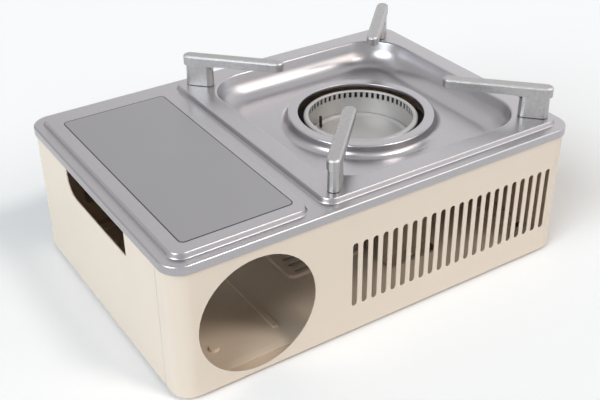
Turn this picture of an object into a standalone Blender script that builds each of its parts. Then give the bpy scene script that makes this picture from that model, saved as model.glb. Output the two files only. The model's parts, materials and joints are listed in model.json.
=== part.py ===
"""Compact camp gas stove with a pressed tray, a ring burner and a push-in cartridge bay.

Metres, +Z up, X along the width, -Y towards the control side. The origin lies on the floor, under the
middle of the bounding box. Everything hangs under one empty, which carries the body-centred frame.
"""

from math import atan2, cos, hypot, pi, radians, sin, tan

import bmesh
import bpy
from mathutils import Matrix, Vector

# Fits and stock
GAP = 0.0003
SHEET = 0.0007
SCREW_PLAY = 0.0003
SHARP_ANGLE = radians(32)

# Body box
BODY_WIDTH = 0.283
BODY_DEPTH = 0.197
BODY_HEIGHT = 0.0893
BODY_CORNER = 0.012
FOOT_HEIGHT = 0.0025
SEAM_FROM_REAR = 0.018

# Cartridge bay
CARTRIDGE_HOLE_RADIUS = 0.0375
CARTRIDGE_FROM_SIDE = 0.0513
CARTRIDGE_ABOVE_EDGE = 0.0401

# Vents in the rear wall
VENT_WIDTH = 0.004
VENT_LOW = 0.0178
VENT_HIGH = 0.0624
VENT_PITCH = 0.007165
VENT_FROM_HOLE = 0.02725
VENT_FROM_SIDE = 0.0165

# Hand window in the side wall
WINDOW_FRONT = -0.040
WINDOW_REAR = 0.0425
WINDOW_SILL = 0.0656
WINDOW_FRONT_RADIUS = 0.011
WINDOW_REAR_RADIUS = 0.0015

# Top plate
SKIRT_DEPTH = 0.0055
EDGE_RADIUS = 0.0012
CREST_RISE = 0.0031
ISLAND_FROM_SIDE = 0.0065
ISLAND_RUN = 0.0017
ISLAND_CORNER = 0.007
PANEL_WIDTH = 0.0823
PANEL_FROM_END = 0.0065
TRAY_FROM_END = 0.0070
VALLEY_WIDTH = 0.0121
TRAY_RIM_LEFT = 0.0099
TRAY_RIM_RIGHT = 0.0123
TRAY_RIM_END = 0.0110
TRAY_DEPTH = 0.0155
TRAY_CORNER = 0.030
TRAY_FLOOR_CORNER = 0.020
TRAY_RUN_X = 0.0112
TRAY_RUN_Y = 0.0080
COLLAR_RISE = 0.0067
COLLAR_FOOT = 0.0514
COLLAR_SHOULDER = 0.0482
OPENING_RADIUS = 0.0408
HEM_DEPTH = 0.0025

# Burner
BURNER_SHIFT = -0.0004
RIM_BELOW_COLLAR = 0.0019
RIM_RADIUS = 0.0379
RIM_THICKNESS = 0.0013
PORT_RADIUS = 0.0345
PORT_WALL = 0.0012
PORT_COUNT = 56
PORT_WIDTH = 0.0020
PORT_HEIGHT = 0.0040
PORT_BELOW_RIM = 0.0009
BOWL_DEPTH = 0.0164
TROUGH_DEPTH = 0.0257
TROUGH_RADIUS = 0.046
TROUGH_WALL = 0.002
TUBE_RADIUS = 0.007
TUBE_WALL = 0.001
TUBE_MOUTH_RADIUS = 0.0105

# Electrode, jet and bracket
ELECTRODE_RADIUS = 0.001
ELECTRODE_HEIGHT = 0.0074
INSULATOR_RADIUS = 0.003
LEAD_RADIUS = 0.0012
NOZZLE_HEAD = 0.006
NOZZLE_TIP = 0.003
NOZZLE_POST_RADIUS = 0.0065
TUBE_AFTER_NOZZLE = 0.002
BRACKET_HALF_WIDTH = 0.020
BRACKET_SHEET = 0.0012

# Pot supports
SUPPORT_HEIGHT = 0.0212
SUPPORT_LAND = 0.0022
SUPPORT_FOOT_LENGTH = 0.0185
SUPPORT_FOOT_THICKNESS = 0.0070
SUPPORT_ARM_WIDTH = 0.0083
SUPPORT_ARM_DEPTH = 0.0062
SUPPORT_CAP_DEPTH = 0.0067
SUPPORT_CAP_OVERHANG = 0.0016
SUPPORT_TIP_RADIUS = 0.0522

# Control side
KNOB_REACH = 0.018
KNOB_RADIUS = 0.019
SPINDLE_FROM_CARTRIDGE = 0.0322
SPINDLE_ABOVE_EDGE = 0.045
SPINDLE_RADIUS = 0.003
KNOB_TURN_DEGREES = 90
CAM_RADIUS = 0.010
PLUNGER_TRAVEL = 0.004
LEVER_ABOVE_CARTRIDGE = 0.026
LEVER_FROM_FRONT = 0.0145
LEVER_SWING = radians(25)
FINGER_REACH = 0.00775
FINGER_THICKNESS = 0.003
TAB_THICKNESS = 0.0015
LUG_OFFSET = 0.015
BEZEL_RADIUS = 0.022
BEZEL_THICKNESS = 0.001
LEVER_ARM_WIDTH = 0.008
PIN_RADIUS = 0.0015
EAR_GAP = 0.0085
EAR_THICKNESS = 0.0015
PLUNGER_RADIUS = 0.003
PLUNGER_CLEARANCE = 0.0006
CAM_THICKNESS = 0.005
SEAL_RADIUS = 0.0055
SEAL_SEAT = 0.0026
BRACKET_THICKNESS = 0.0015
COVER_THICKNESS = 0.0034

# Bottom pan
PAN_STEP_FROM_WALL = 0.0143
PAN_FLANGE_SIDE = 0.0113
PAN_FLANGE_END = 0.0058
PAN_CORNER = 0.004
BEAD_FROM_CARTRIDGE = 0.0262
BEAD_HALF_WIDTH = 0.002
DIMPLE_FROM_REAR = 0.0295
DIMPLE_PAST_CARTRIDGE = 0.0148

# Fasteners and feet
FOOT_NECK_RADIUS = 0.0022
SCREW_RADIUS = 0.0015
SCREW_HEAD_RADIUS = 0.0028
SCREW_HEAD_HEIGHT = 0.0014

# Derived places
HALF_WIDTH = BODY_WIDTH / 2
HALF_DEPTH = BODY_DEPTH / 2
SKIRT_OUT = GAP + SHEET
LEDGE_Z = FOOT_HEIGHT + BODY_HEIGHT
CREST_Z = LEDGE_Z + CREST_RISE
WALL_TOP_Z = LEDGE_Z - SHEET - GAP
LIP_TOP_Z = FOOT_HEIGHT + SHEET
PAN_FLOOR_Z = LIP_TOP_Z + GAP
PAN_FLANGE_Z = PAN_FLOOR_Z + SHEET
TRAY_FLOOR_Z = CREST_Z - TRAY_DEPTH
COLLAR_Z = TRAY_FLOOR_Z + COLLAR_RISE
FRONT_INSIDE = -HALF_DEPTH + SHEET
SEAM_Y = HALF_DEPTH - SEAM_FROM_REAR
BODY_Y = (KNOB_REACH - SKIRT_OUT) / 2

PANEL_RIGHT = HALF_WIDTH - ISLAND_FROM_SIDE
PANEL_LEFT = PANEL_RIGHT - PANEL_WIDTH
TRAY_RIGHT = PANEL_LEFT - VALLEY_WIDTH
TRAY_LEFT = -HALF_WIDTH + ISLAND_FROM_SIDE
VALLEY_X = (PANEL_LEFT + TRAY_RIGHT) / 2
RECESS_LEFT = TRAY_LEFT + TRAY_RIM_LEFT
RECESS_RIGHT = TRAY_RIGHT - TRAY_RIM_RIGHT
RECESS_X = (RECESS_LEFT + RECESS_RIGHT) / 2
RECESS_HALF_X = (RECESS_RIGHT - RECESS_LEFT) / 2
RECESS_HALF_Y = HALF_DEPTH - TRAY_FROM_END - TRAY_RIM_END

BURNER_X = RECESS_X + BURNER_SHIFT
RIM_Z = COLLAR_Z - RIM_BELOW_COLLAR
BOWL_Z = RIM_Z - BOWL_DEPTH
TROUGH_Z = RIM_Z - TROUGH_DEPTH
TROUGH_UNDER_Z = TROUGH_Z - TROUGH_WALL
BOWL_UNDER_Z = TROUGH_UNDER_Z - GAP - SHEET
TUBE_Z = TROUGH_Z + TUBE_RADIUS + 0.002

CARTRIDGE_X = HALF_WIDTH - CARTRIDGE_FROM_SIDE
CARTRIDGE_Z = FOOT_HEIGHT + CARTRIDGE_ABOVE_EDGE
SPINDLE_X = CARTRIDGE_X - SPINDLE_FROM_CARTRIDGE
SPINDLE_Z = FOOT_HEIGHT + SPINDLE_ABOVE_EDGE
LEVER_Z = CARTRIDGE_Z + LEVER_ABOVE_CARTRIDGE
LEVER_Y = -HALF_DEPTH + LEVER_FROM_FRONT
CLAMP_TRAVEL = FINGER_REACH * tan(LEVER_SWING)

# Bottom pan edge
PAN_STEP_X = HALF_WIDTH - PAN_STEP_FROM_WALL
PAN_STEP_Y = HALF_DEPTH - PAN_STEP_FROM_WALL
PAN_FLANGE_X = PAN_STEP_X + PAN_FLANGE_SIDE
PAN_FLANGE_Y = PAN_STEP_Y + PAN_FLANGE_END

# Stack behind the front wall
BRACKET_FRONT = FRONT_INSIDE + GAP
BRACKET_BACK = BRACKET_FRONT + BRACKET_THICKNESS
COVER_FRONT = BRACKET_BACK + GAP
REGULATOR_FRONT = COVER_FRONT + COVER_THICKNESS + GAP
REGULATOR_BACK = REGULATOR_FRONT + 0.020
INLET_BACK = REGULATOR_BACK + 0.010
VALVE_FRONT = COVER_FRONT + 0.0107
VALVE_BACK = VALVE_FRONT + 0.013
NOZZLE_X = SPINDLE_X - 0.008
NOZZLE_Y = (VALVE_FRONT + VALVE_BACK) / 2
NOZZLE_TO_TUBE = NOZZLE_POST_RADIUS + GAP + NOZZLE_HEAD + NOZZLE_TIP + TUBE_AFTER_NOZZLE
CAM_BACK = VALVE_FRONT - 0.002
CAM_FRONT = CAM_BACK - CAM_THICKNESS
PLUNGER_Y = (CAM_FRONT + CAM_BACK) / 2


def circle(radius, centre=(0.0, 0.0), steps=16):
    """Points of a circle, counter-clockwise."""
    turns = [2 * pi * step / steps for step in range(steps)]
    return [(centre[0] + radius * cos(turn), centre[1] + radius * sin(turn)) for turn in turns]


def rounded_box(left, right, low, high, radius, steps=4):
    """Points of a rectangle with round corners, counter-clockwise; radius may be one per corner."""
    radii = radius if isinstance(radius, tuple) else (radius,) * 4
    corners = ((right, low, -1, 1), (right, high, -1, -1), (left, high, 1, -1), (left, low, 1, 1))
    points = []
    for index, (x, y, inward_x, inward_y) in enumerate(corners):
        corner_radius = radii[index]
        centre = (x + inward_x * corner_radius, y + inward_y * corner_radius)
        start = -pi / 2 + index * pi / 2
        for step in range(steps + 1):
            turn = start + pi / 2 * step / steps
            points.append((centre[0] + corner_radius * cos(turn), centre[1] + corner_radius * sin(turn)))
    return points


def centred_box(half_x, half_y, radius, steps=4):
    """Rounded rectangle about the origin."""
    return rounded_box(-half_x, half_x, -half_y, half_y, radius, steps)


def stadium(left, right, half_width, steps=3):
    """Long outline with half-round ends, from left to right."""
    return rounded_box(left, right, -half_width, half_width, half_width * 0.999, steps)


def smooth(share):
    """S-shaped rise from 0 to 1."""
    return share * share * (3 - 2 * share)


def object_from(name, shape):
    """Object with the shape's mesh, faces pointing out."""
    bmesh.ops.recalc_face_normals(shape, faces=shape.faces)
    mesh = bpy.data.meshes.new(name)
    shape.to_mesh(mesh)
    shape.free()
    piece = bpy.data.objects.new(name, mesh)
    bpy.context.scene.collection.objects.link(piece)
    return piece


def twist(face):
    """Distance of a four-sided face's last corner from the plane of the others."""
    first, second, third, last = (corner.co for corner in face.verts)
    normal = (second - first).cross(third - first)
    if normal.length == 0:
        return 0.0
    return abs((last - first).dot(normal.normalized()))


def loft(name, rows):
    """Closed solid through rows of (outline, height) with equal point counts."""
    shape = bmesh.new()
    rings = [[shape.verts.new((x, y, height)) for x, y in outline] for outline, height in rows]
    for lower, upper in zip(rings, rings[1:]):
        count = len(lower)
        for index in range(count):
            following = (index + 1) % count
            shape.faces.new((lower[index], lower[following], upper[following], upper[index]))
    crooked = [face for face in shape.faces if twist(face) > 1e-7]
    bmesh.ops.triangulate(shape, faces=crooked)
    shape.faces.new(list(reversed(rings[0])))
    shape.faces.new(rings[-1])
    return object_from(name, shape)


def prism(name, outline, low, high, along="Z"):
    """Outline pushed along one axis; its plane is XY, XZ for along Y, or YZ for along X."""
    piece = loft(name, [(outline, low), (outline, high)])
    turns = {
        "Z": Matrix.Identity(4),
        "Y": Matrix(((1, 0, 0, 0), (0, 0, 1, 0), (0, 1, 0, 0), (0, 0, 0, 1))),
        "X": Matrix(((0, 0, 1, 0), (1, 0, 0, 0), (0, 1, 0, 0), (0, 0, 0, 1))),
    }
    reshape(piece, turns[along])
    return piece


def reshape(piece, matrix):
    """Mesh moved by the matrix, faces kept pointing out."""
    shape = bmesh.new()
    shape.from_mesh(piece.data)
    bmesh.ops.transform(shape, matrix=matrix, verts=shape.verts)
    bmesh.ops.recalc_face_normals(shape, faces=shape.faces)
    shape.to_mesh(piece.data)
    shape.free()
    return piece


def block(name, low, high):
    """Plain box between two corners."""
    outline = [(low[0], low[1]), (high[0], low[1]), (high[0], high[1]), (low[0], high[1])]
    return prism(name, outline, low[2], high[2])


def turned(name, profile, steps=32):
    """Solid turned about Z from (radius, height) points; closed unless it starts and ends on the axis."""
    shape = bmesh.new()
    corners = [shape.verts.new((radius, 0, height)) for radius, height in profile]
    edges = [shape.edges.new(pair) for pair in zip(corners, corners[1:])]
    if profile[0][0] > 0 or profile[-1][0] > 0:
        edges.append(shape.edges.new((corners[-1], corners[0])))
    bmesh.ops.spin(
        shape,
        geom=corners + edges,
        cent=(0, 0, 0),
        axis=(0, 0, 1),
        angle=2 * pi,
        steps=steps,
        use_merge=True,
    )
    bmesh.ops.remove_doubles(shape, verts=shape.verts, dist=1e-7)
    return object_from(name, shape)


def rod(name, radius, start, end, steps=12):
    """Cylinder between two points."""
    start = Vector(start)
    end = Vector(end)
    piece = prism(name, circle(radius, steps=steps), 0, (end - start).length)
    turn = Vector((0, 0, 1)).rotation_difference(end - start).to_matrix().to_4x4()
    return reshape(piece, Matrix.Translation(start) @ turn)


def combine(piece, tool, operation):
    """Boolean of two solids, applied; the tool is used up."""
    modifier = piece.modifiers.new("shape", "BOOLEAN")
    modifier.operation = operation
    modifier.solver = "EXACT"
    modifier.object = tool
    graph = bpy.context.evaluated_depsgraph_get()
    result = bpy.data.meshes.new_from_object(piece.evaluated_get(graph))
    piece.modifiers.clear()
    piece.data = result
    bpy.data.objects.remove(tool)
    return piece


def fuse(piece, *others):
    """Piece joined with the other solids."""
    for other in others:
        combine(piece, other, "UNION")
    return piece


def cut(piece, *tools):
    """Piece without the tools' volumes."""
    for tool in tools:
        combine(piece, tool, "DIFFERENCE")
    return piece


def keep(piece, tool):
    """Part of the piece inside the tool."""
    return combine(piece, tool, "INTERSECT")


def together(name, pieces):
    """Separate solids gathered in one cutter."""
    shape = bmesh.new()
    for piece in pieces:
        shape.from_mesh(piece.data)
        bpy.data.objects.remove(piece)
    return object_from(name, shape)


def placed(piece, turn, place):
    """Mesh turned by the matrix and moved to the place."""
    return reshape(piece, Matrix.Translation(Vector(place)) @ turn.to_4x4())


def facing_front(piece, place):
    """Piece turned so that its +Z points to -Y, moved to the place."""
    return placed(piece, Matrix.Rotation(pi / 2, 3, "X"), place)


def facing_rear(piece, place):
    """Piece turned so that its +Z points to +Y, moved to the place."""
    return placed(piece, Matrix.Rotation(-pi / 2, 3, "X"), place)


def material(name, colour, roughness, metallic=0.0):
    """Principled material."""
    finish = bpy.data.materials.get(name)
    if finish is None:
        finish = bpy.data.materials.new(name)
        finish.use_nodes = True
        shader = finish.node_tree.nodes["Principled BSDF"]
        shader.inputs["Base Color"].default_value = (*colour, 1.0)
        shader.inputs["Roughness"].default_value = roughness
        shader.inputs["Metallic"].default_value = metallic
        finish.diffuse_color = (*colour, 1.0)
    return finish


def cream_enamel():
    return material("cream_enamel", (0.76, 0.68, 0.57), 0.42)


def silver_enamel():
    return material("silver_enamel", (0.50, 0.50, 0.52), 0.34, 0.75)


def cast_metal():
    return material("cast_metal", (0.42, 0.42, 0.42), 0.45, 0.85)


def plated_steel():
    return material("plated_steel", (0.62, 0.62, 0.61), 0.32, 1.0)


def burner_steel():
    return material("burner_steel", (0.46, 0.46, 0.46), 0.36, 0.95)


def brass():
    return material("brass", (0.72, 0.53, 0.22), 0.30, 1.0)


def dark_plastic():
    return material("dark_plastic", (0.03, 0.03, 0.032), 0.45)


def black_rubber():
    return material("black_rubber", (0.02, 0.02, 0.02), 0.75)


def white_ceramic():
    return material("white_ceramic", (0.80, 0.79, 0.75), 0.25)


def finish(piece, frame, surface, origin=None):
    """Material, smooth shading, parent and, for a moving piece, its origin on the joint's axis."""
    piece.data.materials.clear()
    piece.data.materials.append(surface)
    for polygon in piece.data.polygons:
        polygon.material_index = 0
    piece.data.shade_smooth()
    piece.data.set_sharp_from_angle(angle=SHARP_ANGLE)
    if origin is not None:
        reshape(piece, Matrix.Translation(-Vector(origin)))
        piece.location = origin
    piece.parent = frame
    return piece


def body_box(inset, corner_steps=4):
    """Outline of the body walls, drawn in by the inset."""
    return centred_box(HALF_WIDTH - inset, HALF_DEPTH - inset, BODY_CORNER - inset, corner_steps)


def lip_box():
    """Inner edge of the lip under the pan flange."""
    return centred_box(PAN_STEP_X + GAP, PAN_STEP_Y + GAP, PAN_CORNER + GAP)


def body_walls(name):
    """All four walls with the bottom lip, before they are parted at the seam."""
    spare = 0.002
    walls = prism(name, body_box(0), FOOT_HEIGHT, WALL_TOP_Z)
    hollow = prism("hollow", body_box(SHEET), LIP_TOP_Z, WALL_TOP_Z + spare)
    mouth = prism("mouth", lip_box(), FOOT_HEIGHT - spare, LIP_TOP_Z + spare)
    return cut(walls, hollow, mouth)


def foot_places():
    """Centres of the four rubber feet."""
    from_side = 0.0075
    from_end = 0.0265
    x = HALF_WIDTH - from_side
    y = HALF_DEPTH - from_end
    return [(-x, -y), (x, -y), (-x, y), (x, y)]


def pan_screw_places():
    """Centres of the four screws that hold the pan to the lip."""
    x = (PAN_STEP_X + PAN_FLANGE_X) / 2
    y = 0.045
    return [(-x, -y), (x, -y), (-x, y), (x, y)]


def edge_holes():
    """Cutters for the feet and the pan screws."""
    tools = []
    for x, y in foot_places():
        tools.append(rod("hole", FOOT_NECK_RADIUS + GAP, (x, y, 0), (x, y, 0.008)))
    for x, y in pan_screw_places():
        tools.append(rod("hole", SCREW_RADIUS + SCREW_PLAY, (x, y, 0), (x, y, 0.008)))
    return together("edge_holes", tools)


def front_shell(frame):
    """Front and side walls in one sheet, with the window, control openings and bottom lip."""
    piece = body_walls("front_shell")
    spare = 0.01
    low = (-BODY_WIDTH, -BODY_DEPTH, -spare)
    high = (BODY_WIDTH, SEAM_Y - GAP / 2, CREST_Z)
    keep(piece, block("front_side", low, high))
    radii = (WINDOW_FRONT_RADIUS, WINDOW_REAR_RADIUS)
    sill = FOOT_HEIGHT + WINDOW_SILL
    outline = rounded_box(
        WINDOW_FRONT,
        WINDOW_REAR,
        sill,
        WALL_TOP_Z + spare,
        (radii[1], radii[1], radii[1], radii[0]),
    )
    cut(piece, prism("window", outline, HALF_WIDTH - spare, HALF_WIDTH + spare, "X"))
    wall = (-HALF_DEPTH - spare, FRONT_INSIDE + spare)
    spindle_play = 0.0015
    tools = [prism("spindle", circle(SPINDLE_RADIUS + spindle_play, (SPINDLE_X, SPINDLE_Z)), *wall, "Y")]
    tools.append(prism("lever", lever_slot(), *wall, "Y"))
    for x, z in lug_places():
        tools.append(prism("screw", circle(SCREW_RADIUS + SCREW_PLAY, (x, z)), *wall, "Y"))
    cut(piece, together("front_openings", tools))
    cut(piece, edge_holes())
    return finish(piece, frame, cream_enamel())


def lever_slot():
    """Upright slot that the locking lever swings in."""
    half_width = LEVER_ARM_WIDTH / 2 + 0.001
    drop = LEVER_FROM_FRONT * tan(LEVER_SWING)
    play = 0.0025
    low = LEVER_Z - drop - play
    high = LEVER_Z + play
    return rounded_box(CARTRIDGE_X - half_width, CARTRIDGE_X + half_width, low, high, 0.0012)


def vent_outlines():
    """Outlines of the upright vents, from the cartridge hole to the far side."""
    first = CARTRIDGE_X - CARTRIDGE_HOLE_RADIUS - VENT_FROM_HOLE
    last = -HALF_WIDTH + VENT_FROM_SIDE
    count = round((first - last) / VENT_PITCH) + 1
    radius = VENT_WIDTH / 2 * 0.98
    low = FOOT_HEIGHT + VENT_LOW
    high = FOOT_HEIGHT + VENT_HIGH
    outlines = []
    for index in range(count):
        x = first - index * VENT_PITCH
        outlines.append(rounded_box(x - VENT_WIDTH / 2, x + VENT_WIDTH / 2, low, high, radius, 2))
    return outlines


def rear_panel(frame):
    """Rear wall wrapped round both corners, with the cartridge hole and the vents."""
    piece = body_walls("rear_panel")
    spare = 0.01
    low = (-BODY_WIDTH, SEAM_Y + GAP / 2, -spare)
    high = (BODY_WIDTH, BODY_DEPTH, CREST_Z)
    keep(piece, block("rear_side", low, high))
    wall = (HALF_DEPTH - spare, HALF_DEPTH + spare)
    tools = [prism("vent", outline, *wall, "Y") for outline in vent_outlines()]
    hole = circle(CARTRIDGE_HOLE_RADIUS, (CARTRIDGE_X, CARTRIDGE_Z), 48)
    tools.append(prism("cartridge_hole", hole, *wall, "Y"))
    cut(piece, together("rear_openings", tools))
    return finish(piece, frame, cream_enamel())


def raised_patch(outline_of, height, draft):
    """Pair of solids for a raised patch of the pan: what it adds above and what it takes below."""
    spare = 0.001
    under = PAN_FLOOR_Z - SHEET
    upper = loft(
        "patch",
        [
            (outline_of(0), under + spare / 4),
            (outline_of(0), PAN_FLOOR_Z),
            (outline_of(draft), PAN_FLOOR_Z + height),
        ],
    )
    lower = loft(
        "patch_hollow",
        [
            (outline_of(SHEET), under - spare),
            (outline_of(SHEET), PAN_FLOOR_Z - SHEET),
            (outline_of(SHEET + draft), PAN_FLOOR_Z + height - SHEET),
        ],
    )
    return upper, lower


def air_field(inset):
    """Outline of the raised field of air slots."""
    half_x = 0.0315
    half_y = 0.0375
    return centred_box(half_x - inset, half_y - inset, 0.006 - inset, 3)


def bead(inset):
    """Outline of the long stiffening bead."""
    x = CARTRIDGE_X - BEAD_FROM_CARTRIDGE
    half_width = BEAD_HALF_WIDTH - inset
    reach = PAN_STEP_Y - 0.012 - inset
    return rounded_box(x - half_width, x + half_width, -reach, reach, 0.0004, 1)


def dimple(inset):
    """Outline of the round dimple near the cartridge hole."""
    radius = 0.0035
    return circle(radius - inset, (CARTRIDGE_X + DIMPLE_PAST_CARTRIDGE, HALF_DEPTH - DIMPLE_FROM_REAR), 10)


def air_slots():
    """Cutters for the air-inlet slots."""
    pitch = 0.0072
    half_length = 0.0253
    half_width = 0.0014
    per_side = 5
    tools = []
    for index in range(-per_side + 1, per_side + 1):
        y = (index - 0.5) * pitch
        outline = rounded_box(-half_length, half_length, y - half_width, y + half_width, half_width * 0.98, 2)
        tools.append(prism("slot", outline, 0, PAN_FLOOR_Z + 0.004))
    return together("slots", tools)


def bottom_pan(frame):
    """Floor sheet: stepped edge on the lip, raised air field, bead, dimple and holes."""
    under = PAN_FLOOR_Z - SHEET
    spare = 0.001
    piece = prism("bottom_pan", centred_box(PAN_STEP_X, PAN_STEP_Y, PAN_CORNER), under, PAN_FLANGE_Z)
    flange = centred_box(PAN_FLANGE_X, PAN_FLANGE_Y, PAN_CORNER * 2)
    fuse(piece, prism("flange", flange, PAN_FLOOR_Z, PAN_FLANGE_Z))
    inner = centred_box(PAN_STEP_X - SHEET, PAN_STEP_Y - SHEET, PAN_CORNER - SHEET)
    cut(piece, prism("step", inner, PAN_FLOOR_Z, PAN_FLANGE_Z + spare))
    hollows = []
    patches = ((air_field, 0.0018, 0.001), (bead, 0.0013, 0.0004), (dimple, 0.0014, 0.0008))
    for outline_of, height, draft in patches:
        upper, lower = raised_patch(outline_of, height, draft)
        fuse(piece, upper)
        hollows.append(lower)
    cut(piece, together("hollows", hollows))
    cut(piece, air_slots())
    cut(piece, edge_holes())
    tools = []
    for x, y in bracket_foot_places():
        tools.append(rod("hole", SCREW_RADIUS + SCREW_PLAY, (x, y, 0), (x, y, 0.008)))
    cut(piece, together("bracket_holes", tools))
    return finish(piece, frame, cream_enamel())


def rubber_feet(frame):
    """Four plug feet, pushed up through the lip and the pan flange."""
    sole_radius = 0.0055
    plug_radius = 0.0032
    shoulder = FOOT_HEIGHT - GAP
    neck_top = PAN_FLANGE_Z + GAP
    profile = [
        (0, 0),
        (sole_radius - 0.0006, 0),
        (sole_radius, 0.0006),
        (sole_radius, shoulder),
        (FOOT_NECK_RADIUS, shoulder),
        (FOOT_NECK_RADIUS, neck_top),
        (plug_radius, neck_top),
        (FOOT_NECK_RADIUS - 0.0008, neck_top + 0.0022),
        (0, neck_top + 0.0022),
    ]
    for index, (x, y) in enumerate(foot_places(), start=1):
        piece = turned(f"foot_{index}", profile, 14)
        finish(piece, frame, black_rubber())
        piece.location = (x, y, 0)


def screw(name, length, frame, place, direction=(0, 0, 1), head_radius=SCREW_HEAD_RADIUS):
    """Pan-head screw: shank along the direction from the place, head behind it, with a cross recess."""
    crown = 0.0004
    profile = [
        (0, -SCREW_HEAD_HEIGHT),
        (head_radius - 2 * crown, -SCREW_HEAD_HEIGHT),
        (head_radius, -SCREW_HEAD_HEIGHT + 2 * crown),
        (head_radius, 0),
        (SCREW_RADIUS, 0),
        (SCREW_RADIUS, length - SCREW_RADIUS),
        (0, length),
    ]
    piece = turned(name, profile, 10)
    arm = head_radius * 0.55
    half = 0.0003
    depth = SCREW_HEAD_HEIGHT * 0.55
    bottom = -SCREW_HEAD_HEIGHT - half
    cross = block("recess", (-arm, -half, bottom), (arm, half, -SCREW_HEAD_HEIGHT + depth))
    fuse(cross, block("recess_arm", (-half, -arm, bottom), (half, arm, -SCREW_HEAD_HEIGHT + depth)))
    cut(piece, cross)
    finish(piece, frame, plated_steel())
    piece.location = place
    piece.rotation_mode = "QUATERNION"
    piece.rotation_quaternion = Vector((0, 0, 1)).rotation_difference(Vector(direction))
    return piece


def pan_screws(frame):
    """Four screws up through the lip and the pan flange."""
    length = 0.007
    for index, (x, y) in enumerate(pan_screw_places(), start=1):
        screw(f"pan_screw_{index}", length, frame, (x, y, FOOT_HEIGHT - GAP))


def plate_edge(name, inset):
    """Ledge block with its rounded top edge, from below the tray up."""
    base = TRAY_FLOOR_Z - 0.012 - inset
    radius = EDGE_RADIUS - inset
    half_x = HALF_WIDTH + SKIRT_OUT - inset
    half_y = HALF_DEPTH + SKIRT_OUT - inset
    corner = BODY_CORNER + SKIRT_OUT - inset
    top = LEDGE_Z - inset
    rows = [(centred_box(half_x, half_y, corner), base)]
    steps = 2
    for step in range(steps + 1):
        turn = pi / 2 * step / steps
        draw_in = radius * (1 - cos(turn))
        outline = centred_box(half_x - draw_in, half_y - draw_in, corner - draw_in)
        rows.append((outline, top - radius + radius * sin(turn)))
    return loft(name, rows)


def island(left, right, from_end, inset):
    """Raised land on the ledge with smooth risers."""
    steps = 3
    base_drop = 0.001
    rows = []
    for step in range(-1, steps + 1):
        share = max(step, 0) / steps
        grow = ISLAND_RUN * (1 - share) - inset
        height = LEDGE_Z - inset + CREST_RISE * smooth(share)
        if step < 0:
            height -= base_drop
        reach = HALF_DEPTH - from_end + grow
        outline = rounded_box(left - grow, right + grow, -reach, reach, ISLAND_CORNER + grow)
        rows.append((outline, height))
    return loft("island", rows)


def recess(inset):
    """Tray hollow above the floor, with its S-shaped wall."""
    steps = 6
    spare = 0.001
    rows = []
    for step in range(steps, -2, -1):
        share = max(step, 0) / steps
        half_x = RECESS_HALF_X - TRAY_RUN_X * share + inset
        half_y = RECESS_HALF_Y - TRAY_RUN_Y * share + inset
        corner = TRAY_CORNER + (TRAY_FLOOR_CORNER - TRAY_CORNER) * share + inset
        height = CREST_Z - inset - TRAY_DEPTH * smooth(share)
        if step < 0:
            height += spare
        outline = rounded_box(RECESS_X - half_x, RECESS_X + half_x, -half_y, half_y, corner, 5)
        rows.append((outline, height))
    return loft("recess", rows)


def collar(inset):
    """Raised ring round the burner opening, from its hem to its foot."""
    inner = OPENING_RADIUS + inset
    roll = 0.0012 - inset
    base = TRAY_FLOOR_Z - 0.011 - inset
    top = COLLAR_Z - inset
    shoulder_drop = 0.0009
    foot_fillet = 0.0014
    foot = COLLAR_FOOT - inset
    shoulder = COLLAR_SHOULDER - inset
    floor = TRAY_FLOOR_Z - inset
    profile = [(inner, base)]
    steps = 2
    for step in range(steps + 1):
        turn = pi / 2 * step / steps
        profile.append((inner + roll * (1 - cos(turn)), top - roll + roll * sin(turn)))
    profile.append((shoulder, top - shoulder_drop))
    profile.append((shoulder + 0.0007, top - shoulder_drop - 0.0009))
    profile.append((foot - 0.0006, floor + foot_fillet))
    profile.append((foot + foot_fillet, floor - 0.0001))
    profile.append((foot + foot_fillet, base))
    return placed(turned("collar", profile, 40), Matrix.Identity(3), (BURNER_X, 0, 0))


def plate_volume(name, inset):
    """Everything below the plate's upper face, or below its under face when inset is the sheet."""
    shaft = (OPENING_RADIUS + COLLAR_FOOT) / 2 - inset
    piece = plate_edge(name, inset)
    fuse(piece, island(PANEL_LEFT, PANEL_RIGHT, PANEL_FROM_END, inset))
    fuse(piece, island(TRAY_LEFT, TRAY_RIGHT, TRAY_FROM_END, inset))
    cut(piece, recess(inset))
    low = (BURNER_X, 0, TRAY_FLOOR_Z - 0.03)
    high = (BURNER_X, 0, CREST_Z + 0.01)
    cut(piece, rod("shaft", shaft, low, high, 40))
    fuse(piece, collar(inset))
    return piece


def support_places():
    """Foot centre, turn and reach of each pot support; the foot stands on the tray's corner land."""
    diagonal = TRAY_CORNER + SUPPORT_LAND + SUPPORT_FOOT_LENGTH / 2
    offset_x = RECESS_HALF_X - TRAY_CORNER + diagonal * cos(pi / 4)
    offset_y = RECESS_HALF_Y - TRAY_CORNER + diagonal * sin(pi / 4)
    reach = hypot(offset_x, offset_y)
    places = []
    for side_x, side_y in ((-1, -1), (1, -1), (-1, 1), (1, 1)):
        x = BURNER_X + side_x * offset_x
        y = side_y * offset_y
        places.append(((x, y), atan2(-y, BURNER_X - x), reach))
    return places


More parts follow.
